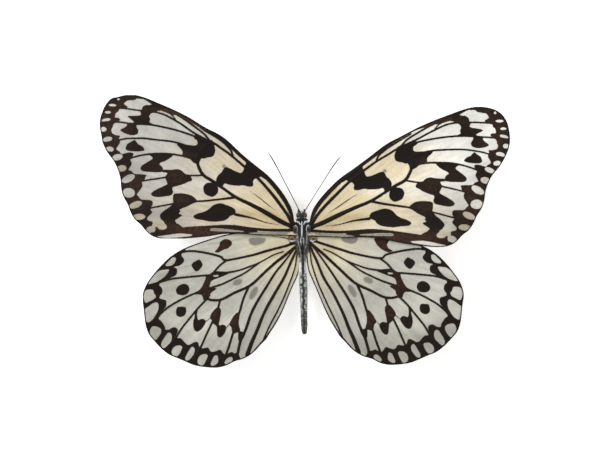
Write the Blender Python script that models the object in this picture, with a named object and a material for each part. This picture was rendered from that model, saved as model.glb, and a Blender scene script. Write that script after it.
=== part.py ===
"""A paper kite butterfly, life size, standing on its four walking legs with its wings spread.

Every size and place below is in millimetres, and new_solid turns them into metres. The head
points along +Y, the back faces +Z, and the floor is at Z = 0. The origin lies on the floor
under the middle of the spread wings.
"""

import math

import bmesh
import bpy
from mathutils import Vector
from mathutils.geometry import delaunay_2d_cdt, intersect_point_line

MM = 0.001
GAP = 0.3  # left between two pieces that touch in life
LEFT, RIGHT = -1, 1
SIDES = (("left", LEFT), ("right", RIGHT))

# The body's axis: where the middle of the thorax is, and how far the body is turned in plan.
THORAX_X, THORAX_Y, THORAX_Z = -0.8, -1.72, 8.5
BODY_YAW = math.radians(1.4)

# Rows across the body: place along its axis, half width, half height and rise of the middle.
THORAX_ROWS = (
    (4.9, 0.80, 0.80, -0.10),
    (4.5, 1.30, 1.30, -0.10),
    (3.6, 1.75, 1.95, 0.00),
    (2.2, 2.05, 2.45, 0.05),
    (0.4, 2.20, 2.65, 0.05),
    (-1.6, 2.15, 2.50, 0.00),
    (-3.2, 1.90, 2.15, -0.10),
    (-4.5, 1.55, 1.75, -0.20),
    (-5.4, 1.15, 1.30, -0.25),
)
HEAD_ROWS = (
    (8.0, 0.40, 0.45, -0.55),
    (7.7, 0.85, 1.05, -0.45),
    (7.1, 1.10, 1.50, -0.35),
    (6.4, 1.15, 1.65, -0.30),
    (5.7, 1.10, 1.45, -0.25),
    (5.2, 0.85, 1.05, -0.20),
    (4.6, 0.55, 0.60, -0.15),
)
THORAX_SIDES, HEAD_SIDES, ABDOMEN_SIDES = 20, 16, 16

# The abdomen: ends of its segments along the axis, then half widths and half heights there.
ABDOMEN_ROWS = (
    (-5.0, 1.00, 1.20),
    (-8.2, 1.15, 1.45),
    (-11.2, 1.18, 1.55),
    (-14.6, 1.32, 1.62),
    (-18.0, 1.34, 1.62),
    (-21.2, 1.24, 1.52),
    (-24.4, 1.14, 1.42),
    (-27.4, 1.12, 1.34),
    (-29.8, 1.04, 1.22),
    (-31.5, 0.55, 0.70),
)
SEGMENT_BULGE, SEGMENT_GROOVE = 0.05, 0.10
ABDOMEN_RISE, ABDOMEN_DROOP = -0.25, 0.0026  # the droop grows with the square of the distance

EYE_MIDDLE, EYE_RADII = (0.95, 6.75, -0.15), (0.88, 1.02, 1.18)
EYE_TURNS, EYE_RINGS = 14, 9

# Each feeler in plan: its root on the head, its slight knee and its tip, for each side.
ANTENNA_PLAN = {
    LEFT: ((-1.38, 5.20), (-1.50, 6.10), (-8.87, 20.40), (-11.70, 25.20)),
    RIGHT: ((-0.42, 5.20), (-0.10, 6.10), (8.78, 20.20), (11.80, 24.00)),
}
ANTENNA_HEIGHTS = (9.1, 9.9, 12.2, 13.3)
ANTENNA_RADII = (0.30, 0.26, 0.25, 0.33, 0.12)
ANTENNA_STEP, ANTENNA_SIDES = 2.0, 6

PALP_PATH = ((0.70, 6.9, -1.4), (0.92, 7.7, -1.85), (0.92, 8.35, -1.3), (0.85, 8.6, -0.5))
PALP_RADII = (0.30, 0.36, 0.33, 0.14)
PALP_STEP = 0.5

COIL_MIDDLE, COIL_RADIUS, COIL_PITCH, COIL_TURNS = (6.7, -3.55), 1.35, 0.85, 1.2
COIL_TUBE, COIL_STEPS_A_TURN = 0.25, 14

# Legs, as places right of, along and above the body's axis: thorax, hip, knee, ankle and tip.
FORELEG_PATH = (
    (0.75, 3.3, -0.9), (0.95, 3.9, -2.3), (1.10, 4.6, -3.1), (1.35, 6.6, -3.7),
    (1.42, 7.2, -4.1), (1.40, 6.9, -4.6), (1.30, 5.2, -4.8), (1.25, 4.2, -4.7),
)
FORELEG_RADII = (0.55, 0.50, 0.36, 0.32, 0.30, 0.27, 0.26, 0.16)
MIDLEG_PATH = (
    (0.80, 0.6, -1.2), (1.30, 0.9, -3.0), (2.00, 1.4, -3.6), (6.40, 4.5, -1.75),
    (7.00, 5.0, -1.9), (7.30, 5.3, -2.5), (9.90, 7.6, -7.4), (10.25, 7.9, -8.0),
    (10.9, 8.45, -8.26), (14.2, 11.3, -8.28),
)
HINDLEG_PATH = (
    (0.80, -2.0, -1.0), (1.25, -2.5, -2.8), (1.90, -3.1, -3.4), (5.90, -6.4, -1.85),
    (6.40, -6.9, -2.0), (6.70, -7.2, -2.6), (9.10, -10.5, -7.4), (9.40, -10.9, -8.0),
    (9.90, -11.6, -8.26), (12.4, -15.3, -8.28),
)
WALKING_LEG_RADII = (0.62, 0.58, 0.44, 0.42, 0.40, 0.36, 0.31, 0.31, 0.34, 0.30)
LEG_STEP, LEG_SIDES = 1.4, 8

TEGULA_MIDDLE, TEGULA_RADII = (2.1, 2.3), (0.85, 1.5, 0.55)

# Wings: the sheet, its veins, and how the spread wings rise from the body.
SHEET = 0.5
RIDGE_AT_ROOT, RIDGE_AT_TIP = (0.62, 0.32), (0.36, 0.18)  # half width and height of a vein
RIDGE_BELOW = 0.5  # a vein's height under the sheet, as a share of its height above
VEIN_REACH = 66.0  # distance from the root at which a vein is as fine as it gets
FOREWING_Z, HINDWING_Z = 9.75, 8.5
RISE_AT_ROOT, RISE_FALLOFF, REAR_DROOP = math.tan(math.radians(6.5)), 0.0006, 0.012
OUTLINE_STEP, VEIN_STEP, LATTICE_STEP = 2.0, 2.6, 4.4
MARGIN_LEFT_BY_VEINS = 0.45
WELD = 0.08

# Each wing is drawn as the right one, from its root: x away from the body, y to the front.
FOREWING_OUTLINE = (
    (-0.5, 1.8), (0.8, 2.2), (1.2, 3.8), (2.2, 6.7), (5.0, 10.6), (10.0, 15.7), (15.0, 19.3),
    (20.0, 23.0), (25.0, 26.8), (30.0, 29.5), (35.0, 32.1), (40.0, 34.3), (45.0, 36.2),
    (50.0, 38.0), (53.5, 38.7), (56.5, 38.6), (59.5, 37.8), (61.8, 36.3), (63.4, 33.9),
    (64.1, 31.2), (64.4, 28.2), (64.0, 25.6), (62.8, 22.6), (61.0, 19.6), (59.0, 17.2),
    (57.6, 14.6), (56.7, 11.8), (56.3, 9.0), (55.5, 6.6), (53.9, 4.0), (52.9, 1.8),
    (51.4, -0.4), (49.4, -2.0), (47.6, -3.9), (45.6, -5.2), (42.5, -5.8), (38.0, -5.6),
    (33.0, -5.0), (28.0, -4.1), (23.0, -3.0), (18.0, -2.7), (12.0, -2.8), (6.0, -2.6),
    (2.0, -2.4), (-0.5, -2.0),
)
FOREWING_VEINS = {
    "subcosta": ((1.6, 3.6), (4.6, 8.4), (10.0, 14.2), (15.0, 18.2), (20.0, 21.9), (25.0, 25.6)),
    "radius": (
        (0.9, 1.2), (5.0, 6.3), (10.0, 11.5), (14.0, 15.3), (18.0, 18.4), (22.0, 21.3),
        (26.0, 23.7), (29.3, 25.7), (35.0, 28.4), (40.3, 31.2), (45.0, 33.2), (50.0, 33.7),
        (56.0, 33.6), (60.0, 33.2), (63.6, 32.5),
    ),
    "radius_1": ((22.0, 21.3), (22.9, 23.2), (25.4, 25.4), (29.0, 27.7), (33.0, 30.1)),
    "radius_2": ((29.6, 25.9), (32.0, 28.4), (36.0, 30.9), (40.0, 33.1), (44.0, 34.9)),
    "radius_4": ((40.3, 31.2), (43.0, 32.9), (46.0, 34.3), (50.0, 35.4), (54.0, 36.5), (58.5, 37.3)),
    "media_1": (
        (30.4, 25.1), (35.0, 27.4), (40.0, 28.5), (45.0, 29.2), (50.0, 29.4), (55.0, 29.1),
        (60.0, 28.8), (63.9, 28.3),
    ),
    "media_2": (
        (33.0, 22.7), (36.0, 23.9), (40.0, 24.8), (45.0, 25.1), (50.0, 25.1), (55.0, 24.4),
        (59.0, 23.3), (62.4, 22.5),
    ),
    "media_3": (
        (33.4, 19.6), (36.5, 20.7), (41.0, 21.0), (46.0, 20.8), (50.0, 20.0), (54.0, 18.6),
        (58.2, 16.6),
    ),
    "cubitus": (
        (1.0, 0.4), (5.0, 1.9), (10.0, 4.3), (15.0, 6.6), (20.3, 8.8), (25.0, 11.7),
        (28.0, 13.6), (31.2, 15.4), (32.6, 17.5), (33.4, 19.6), (33.6, 21.2), (33.0, 22.7),
        (31.6, 24.4), (29.3, 25.7),
    ),
    "cubital_1": ((31.2, 15.4), (35.0, 14.8), (40.0, 14.1), (45.0, 13.0), (49.5, 11.9), (56.0, 9.9)),
    "cubital_2": (
        (20.3, 8.8), (25.0, 7.9), (30.0, 7.2), (35.0, 6.4), (40.0, 5.3), (45.0, 4.0), (52.6, 1.8),
    ),
    "anal": (
        (1.0, -0.5), (5.0, -0.8), (10.0, -1.0), (15.0, -0.8), (20.0, -0.4), (25.0, -0.7),
        (30.0, -1.3), (35.0, -2.0), (40.0, -2.9), (46.0, -4.5),
    ),
}
HINDWING_OUTLINE = (
    (-1.4, 0.8), (0.6, 1.5), (3.0, 2.6), (8.0, 3.5), (14.0, 3.6), (20.0, 2.9), (25.0, 1.9),
    (30.0, 0.4), (34.0, -1.0), (37.5, -2.3), (40.0, -3.8), (42.0, -5.4), (44.2, -7.7),
    (46.2, -10.2), (47.9, -12.6), (49.0, -15.0), (49.5, -17.6), (49.1, -20.6), (48.8, -23.6),
    (48.4, -26.4), (47.4, -29.1), (45.6, -31.3), (43.2, -33.8), (40.8, -35.6), (38.0, -36.8),
    (35.5, -37.9), (32.8, -39.0), (29.5, -39.6), (26.0, -39.8), (23.0, -39.2), (20.3, -37.9),
    (17.6, -37.1), (15.5, -36.0), (13.5, -34.4), (11.7, -32.4), (10.2, -30.9), (8.9, -28.8),
    (7.2, -26.0), (5.3, -22.2), (3.8, -18.6), (2.5, -15.5), (1.2, -12.6), (0.2, -10.2),
    (-0.3, -8.0), (-0.6, -5.5), (-1.4, -3.5),
)
HINDWING_VEINS = {
    "subcosta": ((1.6, 0.9), (6.0, 1.7), (12.0, 1.8), (18.0, 1.1), (24.0, 0.0), (29.0, -0.6)),
    "radius": (
        (1.5, -0.2), (5.0, -1.3), (10.0, -2.9), (15.0, -4.4), (22.8, -5.8), (25.0, -4.6),
        (30.0, -3.4), (35.0, -2.8), (38.3, -3.3),
    ),
    "media_1": (
        (22.8, -5.8), (25.0, -7.4), (27.6, -10.1), (30.0, -10.5), (35.0, -10.9), (40.0, -11.4),
        (43.0, -12.2), (48.0, -13.7),
    ),
    "media_2": (
        (29.4, -14.9), (33.0, -16.2), (37.0, -18.0), (41.0, -20.3), (43.5, -22.4), (46.0, -24.6),
        (48.0, -26.0),
    ),
    "media_3": (
        (28.8, -17.8), (31.5, -20.5), (34.0, -23.5), (37.0, -27.3), (39.0, -30.5), (42.4, -34.0),
    ),
    "cubitus": (
        (1.0, -1.2), (5.0, -4.6), (10.0, -9.2), (15.0, -13.7), (20.0, -16.1), (24.7, -18.3),
        (28.8, -17.8), (29.4, -14.9), (28.7, -12.2), (27.6, -10.1),
    ),
    "cubital_1": (
        (24.7, -18.3), (25.3, -20.5), (26.0, -22.6), (27.3, -25.4), (29.0, -29.0), (31.0, -33.5),
        (33.6, -38.2),
    ),
    "cubital_2": (
        (15.6, -14.1), (17.3, -18.0), (18.5, -22.0), (19.5, -25.0), (20.6, -28.8), (22.0, -33.0),
        (24.3, -39.0),
    ),
    "cell_fold": ((5.0, -2.9), (8.0, -4.2), (12.0, -6.5), (16.0, -8.1), (20.0, -9.3), (27.6, -10.1)),
    "cell_fork": ((12.0, -6.5), (17.0, -9.9), (20.0, -11.4), (24.0, -13.2), (29.4, -14.9)),
    "anal_1": (
        (1.8, -2.4), (6.0, -8.1), (9.0, -12.6), (12.0, -17.3), (14.7, -22.3), (16.5, -27.5),
        (18.2, -31.3), (19.8, -37.2),
    ),
    "anal_2": (
        (0.9, -2.6), (3.0, -7.2), (5.0, -12.0), (8.0, -17.0), (11.0, -23.0), (13.0, -28.0),
        (14.6, -31.6), (16.2, -35.8),
    ),
    "anal_3": ((0.7, -4.2), (1.3, -8.0), (3.4, -14.2), (6.2, -20.5), (9.3, -27.0), (11.0, -31.0)),
}

# How each wing is set: its root in plan and how far it is swept forward of the drawn one.
WING_ROOTS = {
    "forewing_left": ((-2.5, 0.7), math.radians(3.8)),
    "forewing_right": ((0.59, 0.64), 0.0),
    "hindwing_left": ((-1.83, -3.75), 0.0),
    "hindwing_right": ((1.06, -2.86), 0.0),
}

COLOURS = {
    "wing": (0.80, 0.76, 0.66),
    "body": (0.060, 0.052, 0.045),
    "abdomen": (0.30, 0.29, 0.26),
    "eye": (0.10, 0.05, 0.03),
    "leg": (0.035, 0.030, 0.028),
    "tongue": (0.12, 0.06, 0.03),
}
ROUGHNESS = {"wing": 0.6, "body": 0.75, "abdomen": 0.7, "eye": 0.25, "leg": 0.5, "tongue": 0.45}


def clear_scene():
    """Removes what the scene holds."""
    for obj in list(bpy.data.objects):
        bpy.data.objects.remove(obj)


def material(name):
    """The named finish as a Principled material, made once."""
    found = bpy.data.materials.get(name)
    if found:
        return found
    made = bpy.data.materials.new(name)
    made.use_nodes = True
    shader = made.node_tree.nodes["Principled BSDF"]
    shader.inputs["Base Color"].default_value = (*COLOURS[name], 1.0)
    shader.inputs["Roughness"].default_value = ROUGHNESS[name]
    shader.inputs["Metallic"].default_value = 0.0
    return made


def new_solid(name, points, faces, finish):
    """An object from points in millimetres, with its faces turned to point out."""
    mesh = bpy.data.meshes.new(name)
    mesh.from_pydata([Vector(p) * MM for p in points], [], faces)
    shape = bmesh.new()
    shape.from_mesh(mesh)
    bmesh.ops.recalc_face_normals(shape, faces=shape.faces)
    bmesh.ops.triangulate(shape, faces=shape.faces)
    shape.to_mesh(mesh)
    shape.free()
    mesh.shade_smooth()
    mesh.set_sharp_from_angle(angle=math.radians(45))
    mesh.materials.append(material(finish))
    obj = bpy.data.objects.new(name, mesh)
    bpy.context.scene.collection.objects.link(obj)
    return obj


def as_cutter(obj):
    """Marks an object as a helper that only cuts others."""
    obj.hide_render = True
    obj.display_type = "WIRE"
    return obj


def cut(obj, *cutters):
    """Takes each cutter away from an object."""
    for cutter in cutters:
        modifier = obj.modifiers.new("cut_by_" + cutter.name, "BOOLEAN")
        modifier.operation = "DIFFERENCE"
        modifier.solver = "EXACT"
        modifier.object = cutter
    return obj


def body_point(right, along, up):
    """The place right of, along and above the middle of the thorax, in the body's own turn."""
    sine, cosine = math.sin(BODY_YAW), math.cos(BODY_YAW)
    return Vector((
        THORAX_X + right * cosine - along * sine,
        THORAX_Y + right * sine + along * cosine,
        THORAX_Z + up,
    ))


def loft(rings):
    """Points and faces of a closed skin through rings of equal count, with a fan on each end."""
    count = len(rings[0])
    points = [p for ring in rings for p in ring]
    faces = []
    for level in range(len(rings) - 1):
        low, high = level * count, (level + 1) * count
        for i in range(count):
            j = (i + 1) % count
            faces.append((low + i, low + j, high + j, high + i))
    for ring, start in ((rings[0], 0), (rings[-1], (len(rings) - 1) * count)):
        points.append(sum(ring, Vector()) / count)
        faces += [(start + i, start + (i + 1) % count, len(points) - 1) for i in range(count)]
    return points, faces


def cross_section(along, half_width, half_height, rise, sides):
    """An oval ring across the body's axis."""
    turns = [2 * math.pi * i / sides for i in range(sides)]
    return [
        body_point(half_width * math.cos(t), along, rise + half_height * math.sin(t)) for t in turns
    ]


def smooth_line(points, step):
    """Points about a step apart on a smooth curve through the given ones, ends included."""
    given = [Vector(p) for p in points]
    first, last = given[0] * 2 - given[1], given[-1] * 2 - given[-2]
    padded = [first, *given, last]
    line = [given[0]]
    for a, b, c, d in zip(padded, padded[1:], padded[2:], padded[3:]):
        count = max(1, round((c - b).length / step))
        for i in range(1, count + 1):
            t = i / count
            line.append(
                0.5 * (2 * b + (c - a) * t + (2 * a - 5 * b + 4 * c - d) * t * t
                       + (3 * b - a - 3 * c + d) * t * t * t)
            )
    return line


def value_along(values, share):
    """The value at a share of the way along a row of evenly spread values."""
    place = share * (len(values) - 1)
    i = min(int(place), len(values) - 2)
    return values[i] + (values[i + 1] - values[i]) * (place - i)


def tube_rings(path, radii, sides):
    """Rings round a path, each turned from the last by no more than the path turns."""
    rings = []
    across = None
    for i, middle in enumerate(path):
        ahead = (path[min(i + 1, len(path) - 1)] - path[max(i - 1, 0)]).normalized()
        if across is None:
            across = ahead.orthogonal().normalized()
        across = (across - ahead * across.dot(ahead)).normalized()
        upward = ahead.cross(across)
        turns = [2 * math.pi * k / sides for k in range(sides)]
        rings.append([
            middle + radii[i] * (across * math.cos(t) + upward * math.sin(t)) for t in turns
        ])
    return rings


def limb(name, corners, radii, step, sides, finish, floor=None):
    """A round limb through its corners, each with its radius, flattened where it meets the floor."""
    given = [Vector(c) for c in corners]
    path = smooth_line(given, step)
    reach = [0.0]
    for a, b in zip(path, path[1:]):
        reach.append(reach[-1] + (b - a).length)
    at_corner = [min(range(len(path)), key=lambda i: (path[i] - c).length) for c in given]
    thickness = []
    for i, length in enumerate(reach):
        k = max(j for j in range(len(given)) if at_corner[j] <= i)
        k = min(k, len(given) - 2)
        low, high = reach[at_corner[k]], reach[at_corner[k + 1]]
        share = (length - low) / max(high - low, 1e-6)
        thickness.append(radii[k] + (radii[k + 1] - radii[k]) * share)
    points, faces = loft(tube_rings(path, thickness, sides))
    if floor is not None:
        points = [Vector((p.x, p.y, max(p.z, floor))) for p in points]
    return new_solid(name, points, faces, finish)


def ellipsoid(name, middle, radii, finish, turns=EYE_TURNS, rings=EYE_RINGS, lowest=None):
    """An egg shape with its poles fore and aft, kept above a surface if one is given."""
    x, y, z = middle
    rows = []
    for k in range(1, rings):
        polar = math.pi * k / rings
        rows.append([
            body_point(
                x + radii[0] * math.sin(polar) * math.cos(2 * math.pi * i / turns),
                y + radii[1] * math.cos(polar),
                z + radii[2] * math.sin(polar) * math.sin(2 * math.pi * i / turns),
            )
            for i in range(turns)
        ])
    points, faces = loft(rows)
    if lowest:
        points = [Vector((p.x, p.y, max(p.z, lowest(p.x, p.y)))) for p in points]
    return new_solid(name, points, faces, finish)


def thorax(name, grow=0.0):
    """The thorax, or a copy grown all round that cuts what meets it."""
    rows = [list(row) for row in THORAX_ROWS]
    rows[0][0] += grow
    rows[-1][0] -= grow
    rings = [cross_section(a, w + grow, h + grow, r, THORAX_SIDES) for a, w, h, r in rows]
    return new_solid(name, *loft(rings), "body")


def head(name, grow=0.0):
    """The head without its eyes, or a copy grown all round."""
    rows = [list(row) for row in HEAD_ROWS]
    rows[0][0] += grow
    rows[-1][0] -= grow
    rings = [cross_section(a, w + grow, h + grow, r, HEAD_SIDES) for a, w, h, r in rows]
    return new_solid(name, *loft(rings), "body")


def abdomen_rise(along):
    """How far the abdomen's middle is above the body's axis: it droops to the rear."""
    return ABDOMEN_RISE - ABDOMEN_DROOP * (along - ABDOMEN_ROWS[0][0]) ** 2


def abdomen(name, grow=0.0):
    """The abdomen, with a bulge in each segment and a groove between two."""
    rings = []
    for (start, w0, h0), (end, w1, h1) in zip(ABDOMEN_ROWS, ABDOMEN_ROWS[1:]):
        for share, swell in ((0.0, -SEGMENT_GROOVE), (0.12, 0.0), (0.5, SEGMENT_BULGE), (0.88, 0.0)):
            along = start + (end - start) * share
            width, height = w0 + (w1 - w0) * share, h0 + (h1 - h0) * share
            swell = max(swell, 0.0) if grow else swell
            rings.append(cross_section(
                along, width + swell + grow, height + swell + grow, abdomen_rise(along),
                ABDOMEN_SIDES,
            ))
    end, width, height = ABDOMEN_ROWS[-1]
    rings.append(cross_section(
        end - grow, width + grow, height + grow, abdomen_rise(end), ABDOMEN_SIDES
    ))
    return new_solid(name, *loft(rings), "abdomen")


def proboscis(head_cutter):
    """The tongue, coiled under the head in the body's middle plane."""
    along, rise = COIL_MIDDLE
    steps = round(COIL_TURNS * COIL_STEPS_A_TURN)
    path = [body_point(0, along + COIL_RADIUS, rise + COIL_RADIUS * 1.6)]
    for i in range(steps + 1):
        turn = 2 * math.pi * i / COIL_STEPS_A_TURN
        radius = COIL_RADIUS - COIL_PITCH * turn / (2 * math.pi)
        path.append(body_point(0, along + radius * math.cos(turn), rise - radius * math.sin(turn)))
    rings = tube_rings(path, [COIL_TUBE] * len(path), ANTENNA_SIDES)
    return cut(new_solid("proboscis", *loft(rings), "tongue"), head_cutter)


def antenna(side_name, side, head_cutter):
    """A thin feeler with a slight knee and a long club at its tip."""
    corners = [(x, y, z) for (x, y), z in zip(ANTENNA_PLAN[side], ANTENNA_HEIGHTS)]
    path = smooth_line(corners, ANTENNA_STEP)
    radii = [value_along(ANTENNA_RADII, i / (len(path) - 1)) for i in range(len(path))]
    rings = tube_rings(path, radii, ANTENNA_SIDES)
    return cut(new_solid("antenna_" + side_name, *loft(rings), "leg"), head_cutter)


def legs(side_name, side, thorax_cutter):
    """The three legs of one side: a small folded front leg and two that walk."""
    for name, path, radii in (
        ("foreleg_", FORELEG_PATH, FORELEG_RADII),
        ("midleg_", MIDLEG_PATH, WALKING_LEG_RADII),
        ("hindleg_", HINDLEG_PATH, WALKING_LEG_RADII),
    ):
        corners = [body_point(side * x, y, z) for x, y, z in path]
        leg = limb(name + side_name, corners, radii, LEG_STEP, LEG_SIDES, "leg", floor=0.0)
        cut(leg, thorax_cutter)


def over_forewing(x, y):
    """The lowest level over a place in plan that clears the forewing and its veins."""
    return wing_level(x, y, FOREWING_Z) + SHEET / 2 + RIDGE_AT_ROOT[1] + GAP


def tegula(side_name, side, thorax_cutter):
    """The scale-like plate that lies over the hinge of a forewing."""
    across, along = TEGULA_MIDDLE
    place = body_point(side * across, along, 0)
    middle = (side * across, along, over_forewing(place.x, place.y) - THORAX_Z)
    plate = ellipsoid("tegula_" + side_name, middle, TEGULA_RADII, "body", lowest=over_forewing)
    return cut(plate, thorax_cutter)


def wing_level(x, y, root_level):
    """Height of a wing's middle sheet over a place in plan. Both wings of a side rise alike."""
    away = abs(x - THORAX_X)
    return root_level + RISE_AT_ROOT * away - RISE_FALLOFF * away**2 + REAR_DROOP * (y - THORAX_Y)


def is_inside(point, ring):
    """True if a place in plan lies inside a closed ring."""
    inside = False
    for a, b in zip(ring, ring[1:] + ring[:1]):
        if (a.y > point.y) != (b.y > point.y):
            if point.x < a.x + (b.x - a.x) * (point.y - a.y) / (b.y - a.y):
                inside = not inside
    return inside


def distance_to(point, line):
    """How far a place in plan is from a line of points."""
    least = math.inf
    for a, b in zip(line, line[1:]):
        foot, share = intersect_point_line(point, a, b)
        if share < 0:
            foot = a
        elif share > 1:
            foot = b
        least = min(least, (point.xy - foot.xy).length)
    return least


def ridge_size(point):
    """Half width and height of a vein where it passes a place in plan."""
    share = min(1.0, point.length / VEIN_REACH)
    return [a + (b - a) * share for a, b in zip(RIDGE_AT_ROOT, RIDGE_AT_TIP)]


def side_lines(crest):
    """The two lines in plan along which a vein's ridge meets the sheet."""
    lines = ([], [])
    for i, point in enumerate(crest):
        ahead = (crest[min(i + 1, len(crest) - 1)] - crest[max(i - 1, 0)]).normalized()
        across = Vector((-ahead.y, ahead.x)) * ridge_size(point)[0]
        lines[0].append(point + across)
        lines[1].append(point - across)
    return lines


def lattice(ring, crests):
    """Evenly spread places in plan inside a ring, clear of its edge and of the veins."""
    found = []
    rows = math.ceil(max(p.y for p in ring) / LATTICE_STEP)
    first_row = math.floor(min(p.y for p in ring) / LATTICE_STEP)
    columns = math.ceil(max(p.x for p in ring) / LATTICE_STEP)
    closed = ring + ring[:1]
    for row in range(first_row, rows + 1):
        for column in range(columns + 1):
            place = Vector(((column + 0.5 * (row % 2)) * LATTICE_STEP, row * LATTICE_STEP))
            if not is_inside(place, ring) or distance_to(place, closed) < 0.4 * LATTICE_STEP:
                continue
            if all(distance_to(place, crest) > 0.4 * LATTICE_STEP for crest in crests):
                found.append(place)
    return found


def wing_plan(outline, veins):
    """The wing in plan as triangles, with edges along its outline, its veins and their feet."""
    ring = smooth_line(outline, OUTLINE_STEP)
    closed = ring + ring[:1]
    crests = [smooth_line(points, VEIN_STEP) for points in veins.values()]
    points = list(ring)
    edges = []
    for crest in crests:
        for line in (crest, *side_lines(crest)):
            last = None
            for place in line:
                if not is_inside(place, ring) or distance_to(place, closed) < MARGIN_LEFT_BY_VEINS:
                    last = None
                    continue
                points.append(place)
                if last is not None:
                    edges.append((last, len(points) - 1))
                last = len(points) - 1
    points += lattice(ring, crests)
    found = delaunay_2d_cdt(points, edges, [list(range(len(ring)))], 1, WELD)
    places, triangles = found[0], [tuple(f) for f in found[2]]
    triangles = [
        t for t in triangles if is_inside((places[t[0]] + places[t[1]] + places[t[2]]) / 3, ring)
    ]
    return places, triangles, crests


def ridge_over(place, crests):
    """Height of the veins' ridges over a place in plan."""
    half_width, height = ridge_size(place)
    nearest = min(distance_to(place, crest) for crest in crests)
    return height * max(0.0, 1.0 - nearest / half_width)


def wing(name, side, outline, veins, root_level, cutters):
    """A thin wing with its veins raised, set by its root and cut clear of the body."""
    (root_x, root_y), sweep = WING_ROOTS[name]
    places, triangles, crests = wing_plan(outline, veins)
    sine, cosine = math.sin(sweep), math.cos(sweep)
    top, bottom = [], []
    for place in places:
        x = root_x + side * (place.x * cosine - place.y * sine)
        y = root_y + place.x * sine + place.y * cosine
        level = wing_level(x, y, root_level)
        ridge = ridge_over(place, crests)
        top.append(Vector((x, y, level + SHEET / 2 + ridge)))
        bottom.append(Vector((x, y, level - SHEET / 2 - RIDGE_BELOW * ridge)))
    count = len(places)
    faces = list(triangles) + [(c + count, b + count, a + count) for a, b, c in triangles]
    directed = {(t[i], t[(i + 1) % 3]) for t in triangles for i in range(3)}
    for a, b in sorted(directed):
        if (b, a) not in directed:
            faces.append((b, a, a + count, b + count))
    return cut(new_solid(name, top + bottom, faces, "wing"), *cutters)


def main():
    """Builds every piece of the butterfly."""
    clear_scene()
    thorax("thorax")
    thorax_cutter = as_cutter(thorax("thorax_clearance", GAP))
    cut(head("head"), thorax_cutter)
    head_cutter = as_cutter(head("head_clearance", GAP))
    cut(abdomen("abdomen"), thorax_cutter)
    abdomen_cutter = as_cutter(abdomen("abdomen_clearance", GAP))
    proboscis(head_cutter)
    for side_name, side in SIDES:
        x, y, z = EYE_MIDDLE
        cut(ellipsoid("eye_" + side_name, (side * x, y, z), EYE_RADII, "eye"), head_cutter)
        antenna(side_name, side, head_cutter)
        corners = [body_point(side * x, y, z) for x, y, z in PALP_PATH]
        palp = limb("palp_" + side_name, corners, PALP_RADII, PALP_STEP, ANTENNA_SIDES, "body")
        cut(palp, head_cutter)
        legs(side_name, side, thorax_cutter)
        tegula(side_name, side, thorax_cutter)
        cutters = (thorax_cutter, abdomen_cutter)
        wing("forewing_" + side_name, side, FOREWING_OUTLINE, FOREWING_VEINS, FOREWING_Z, cutters)
        wing("hindwing_" + side_name, side, HINDWING_OUTLINE, HINDWING_VEINS, HINDWING_Z, cutters)


main()
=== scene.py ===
"""The looks of a paper kite butterfly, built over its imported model.

Lengths are in millimetres until a mesh is made, which turns them into metres. The head points
along +Y and the floor is at Z = 0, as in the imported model.
"""
import logging
import math
from dataclasses import dataclass, field
from enum import Enum
from functools import cache, cached_property
from typing import Sequence

import bpy
import numpy as np
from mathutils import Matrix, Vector


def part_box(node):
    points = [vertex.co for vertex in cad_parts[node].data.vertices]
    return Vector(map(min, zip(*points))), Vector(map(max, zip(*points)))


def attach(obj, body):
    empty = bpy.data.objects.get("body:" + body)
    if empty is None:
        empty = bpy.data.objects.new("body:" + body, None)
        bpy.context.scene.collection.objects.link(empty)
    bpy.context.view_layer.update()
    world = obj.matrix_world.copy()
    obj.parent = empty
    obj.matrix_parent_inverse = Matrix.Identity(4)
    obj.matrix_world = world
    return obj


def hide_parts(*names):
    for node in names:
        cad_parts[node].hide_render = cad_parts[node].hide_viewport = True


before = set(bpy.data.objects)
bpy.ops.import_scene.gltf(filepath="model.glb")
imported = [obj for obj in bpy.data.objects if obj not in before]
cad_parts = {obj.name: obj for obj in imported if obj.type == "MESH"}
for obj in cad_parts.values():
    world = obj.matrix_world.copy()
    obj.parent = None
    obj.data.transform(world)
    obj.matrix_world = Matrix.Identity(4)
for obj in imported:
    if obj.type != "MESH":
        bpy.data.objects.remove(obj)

MM = 0.001
LOG = logging.getLogger("paper_kite")
BODY_X, BODY_Y, BODY_Z, BODY_YAW = -0.8, -1.72, 8.5, math.radians(1.4)
FAR = 2.0  # how far outside a drawn mark its depth is still worked out
BARE = {"white": -FAR, "grey": 0.0, "tan": 0.0, "olive": 0.0}  # skin or hair without markings
Array = np.ndarray
Point = tuple[float, ...]
Shape = tuple[Point, ...]
Lines = tuple[tuple[Shape, Point], ...]
Faces = list[tuple[int, ...]]
Colour = tuple[float, float, float, float]
Piece = bpy.types.Object
Material = bpy.types.Material
Socket = bpy.types.NodeSocket


class Side(Enum):
    """A side of the body, with the way that X runs there."""

    LEFT = -1
    RIGHT = 1

    @property
    def label(self) -> str:
        """The side's name as the nodes spell it."""
        return self.name.lower()


def srgb(*parts: int) -> Colour:
    """Turns a display colour, red to blue from 0 to 255, into the shaders' linear one."""
    shares = [part / 255 for part in parts]
    return (*(s / 12.92 if s <= 0.04045 else ((s + 0.055) / 1.055) ** 2.4 for s in shares), 1.0)


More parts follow.
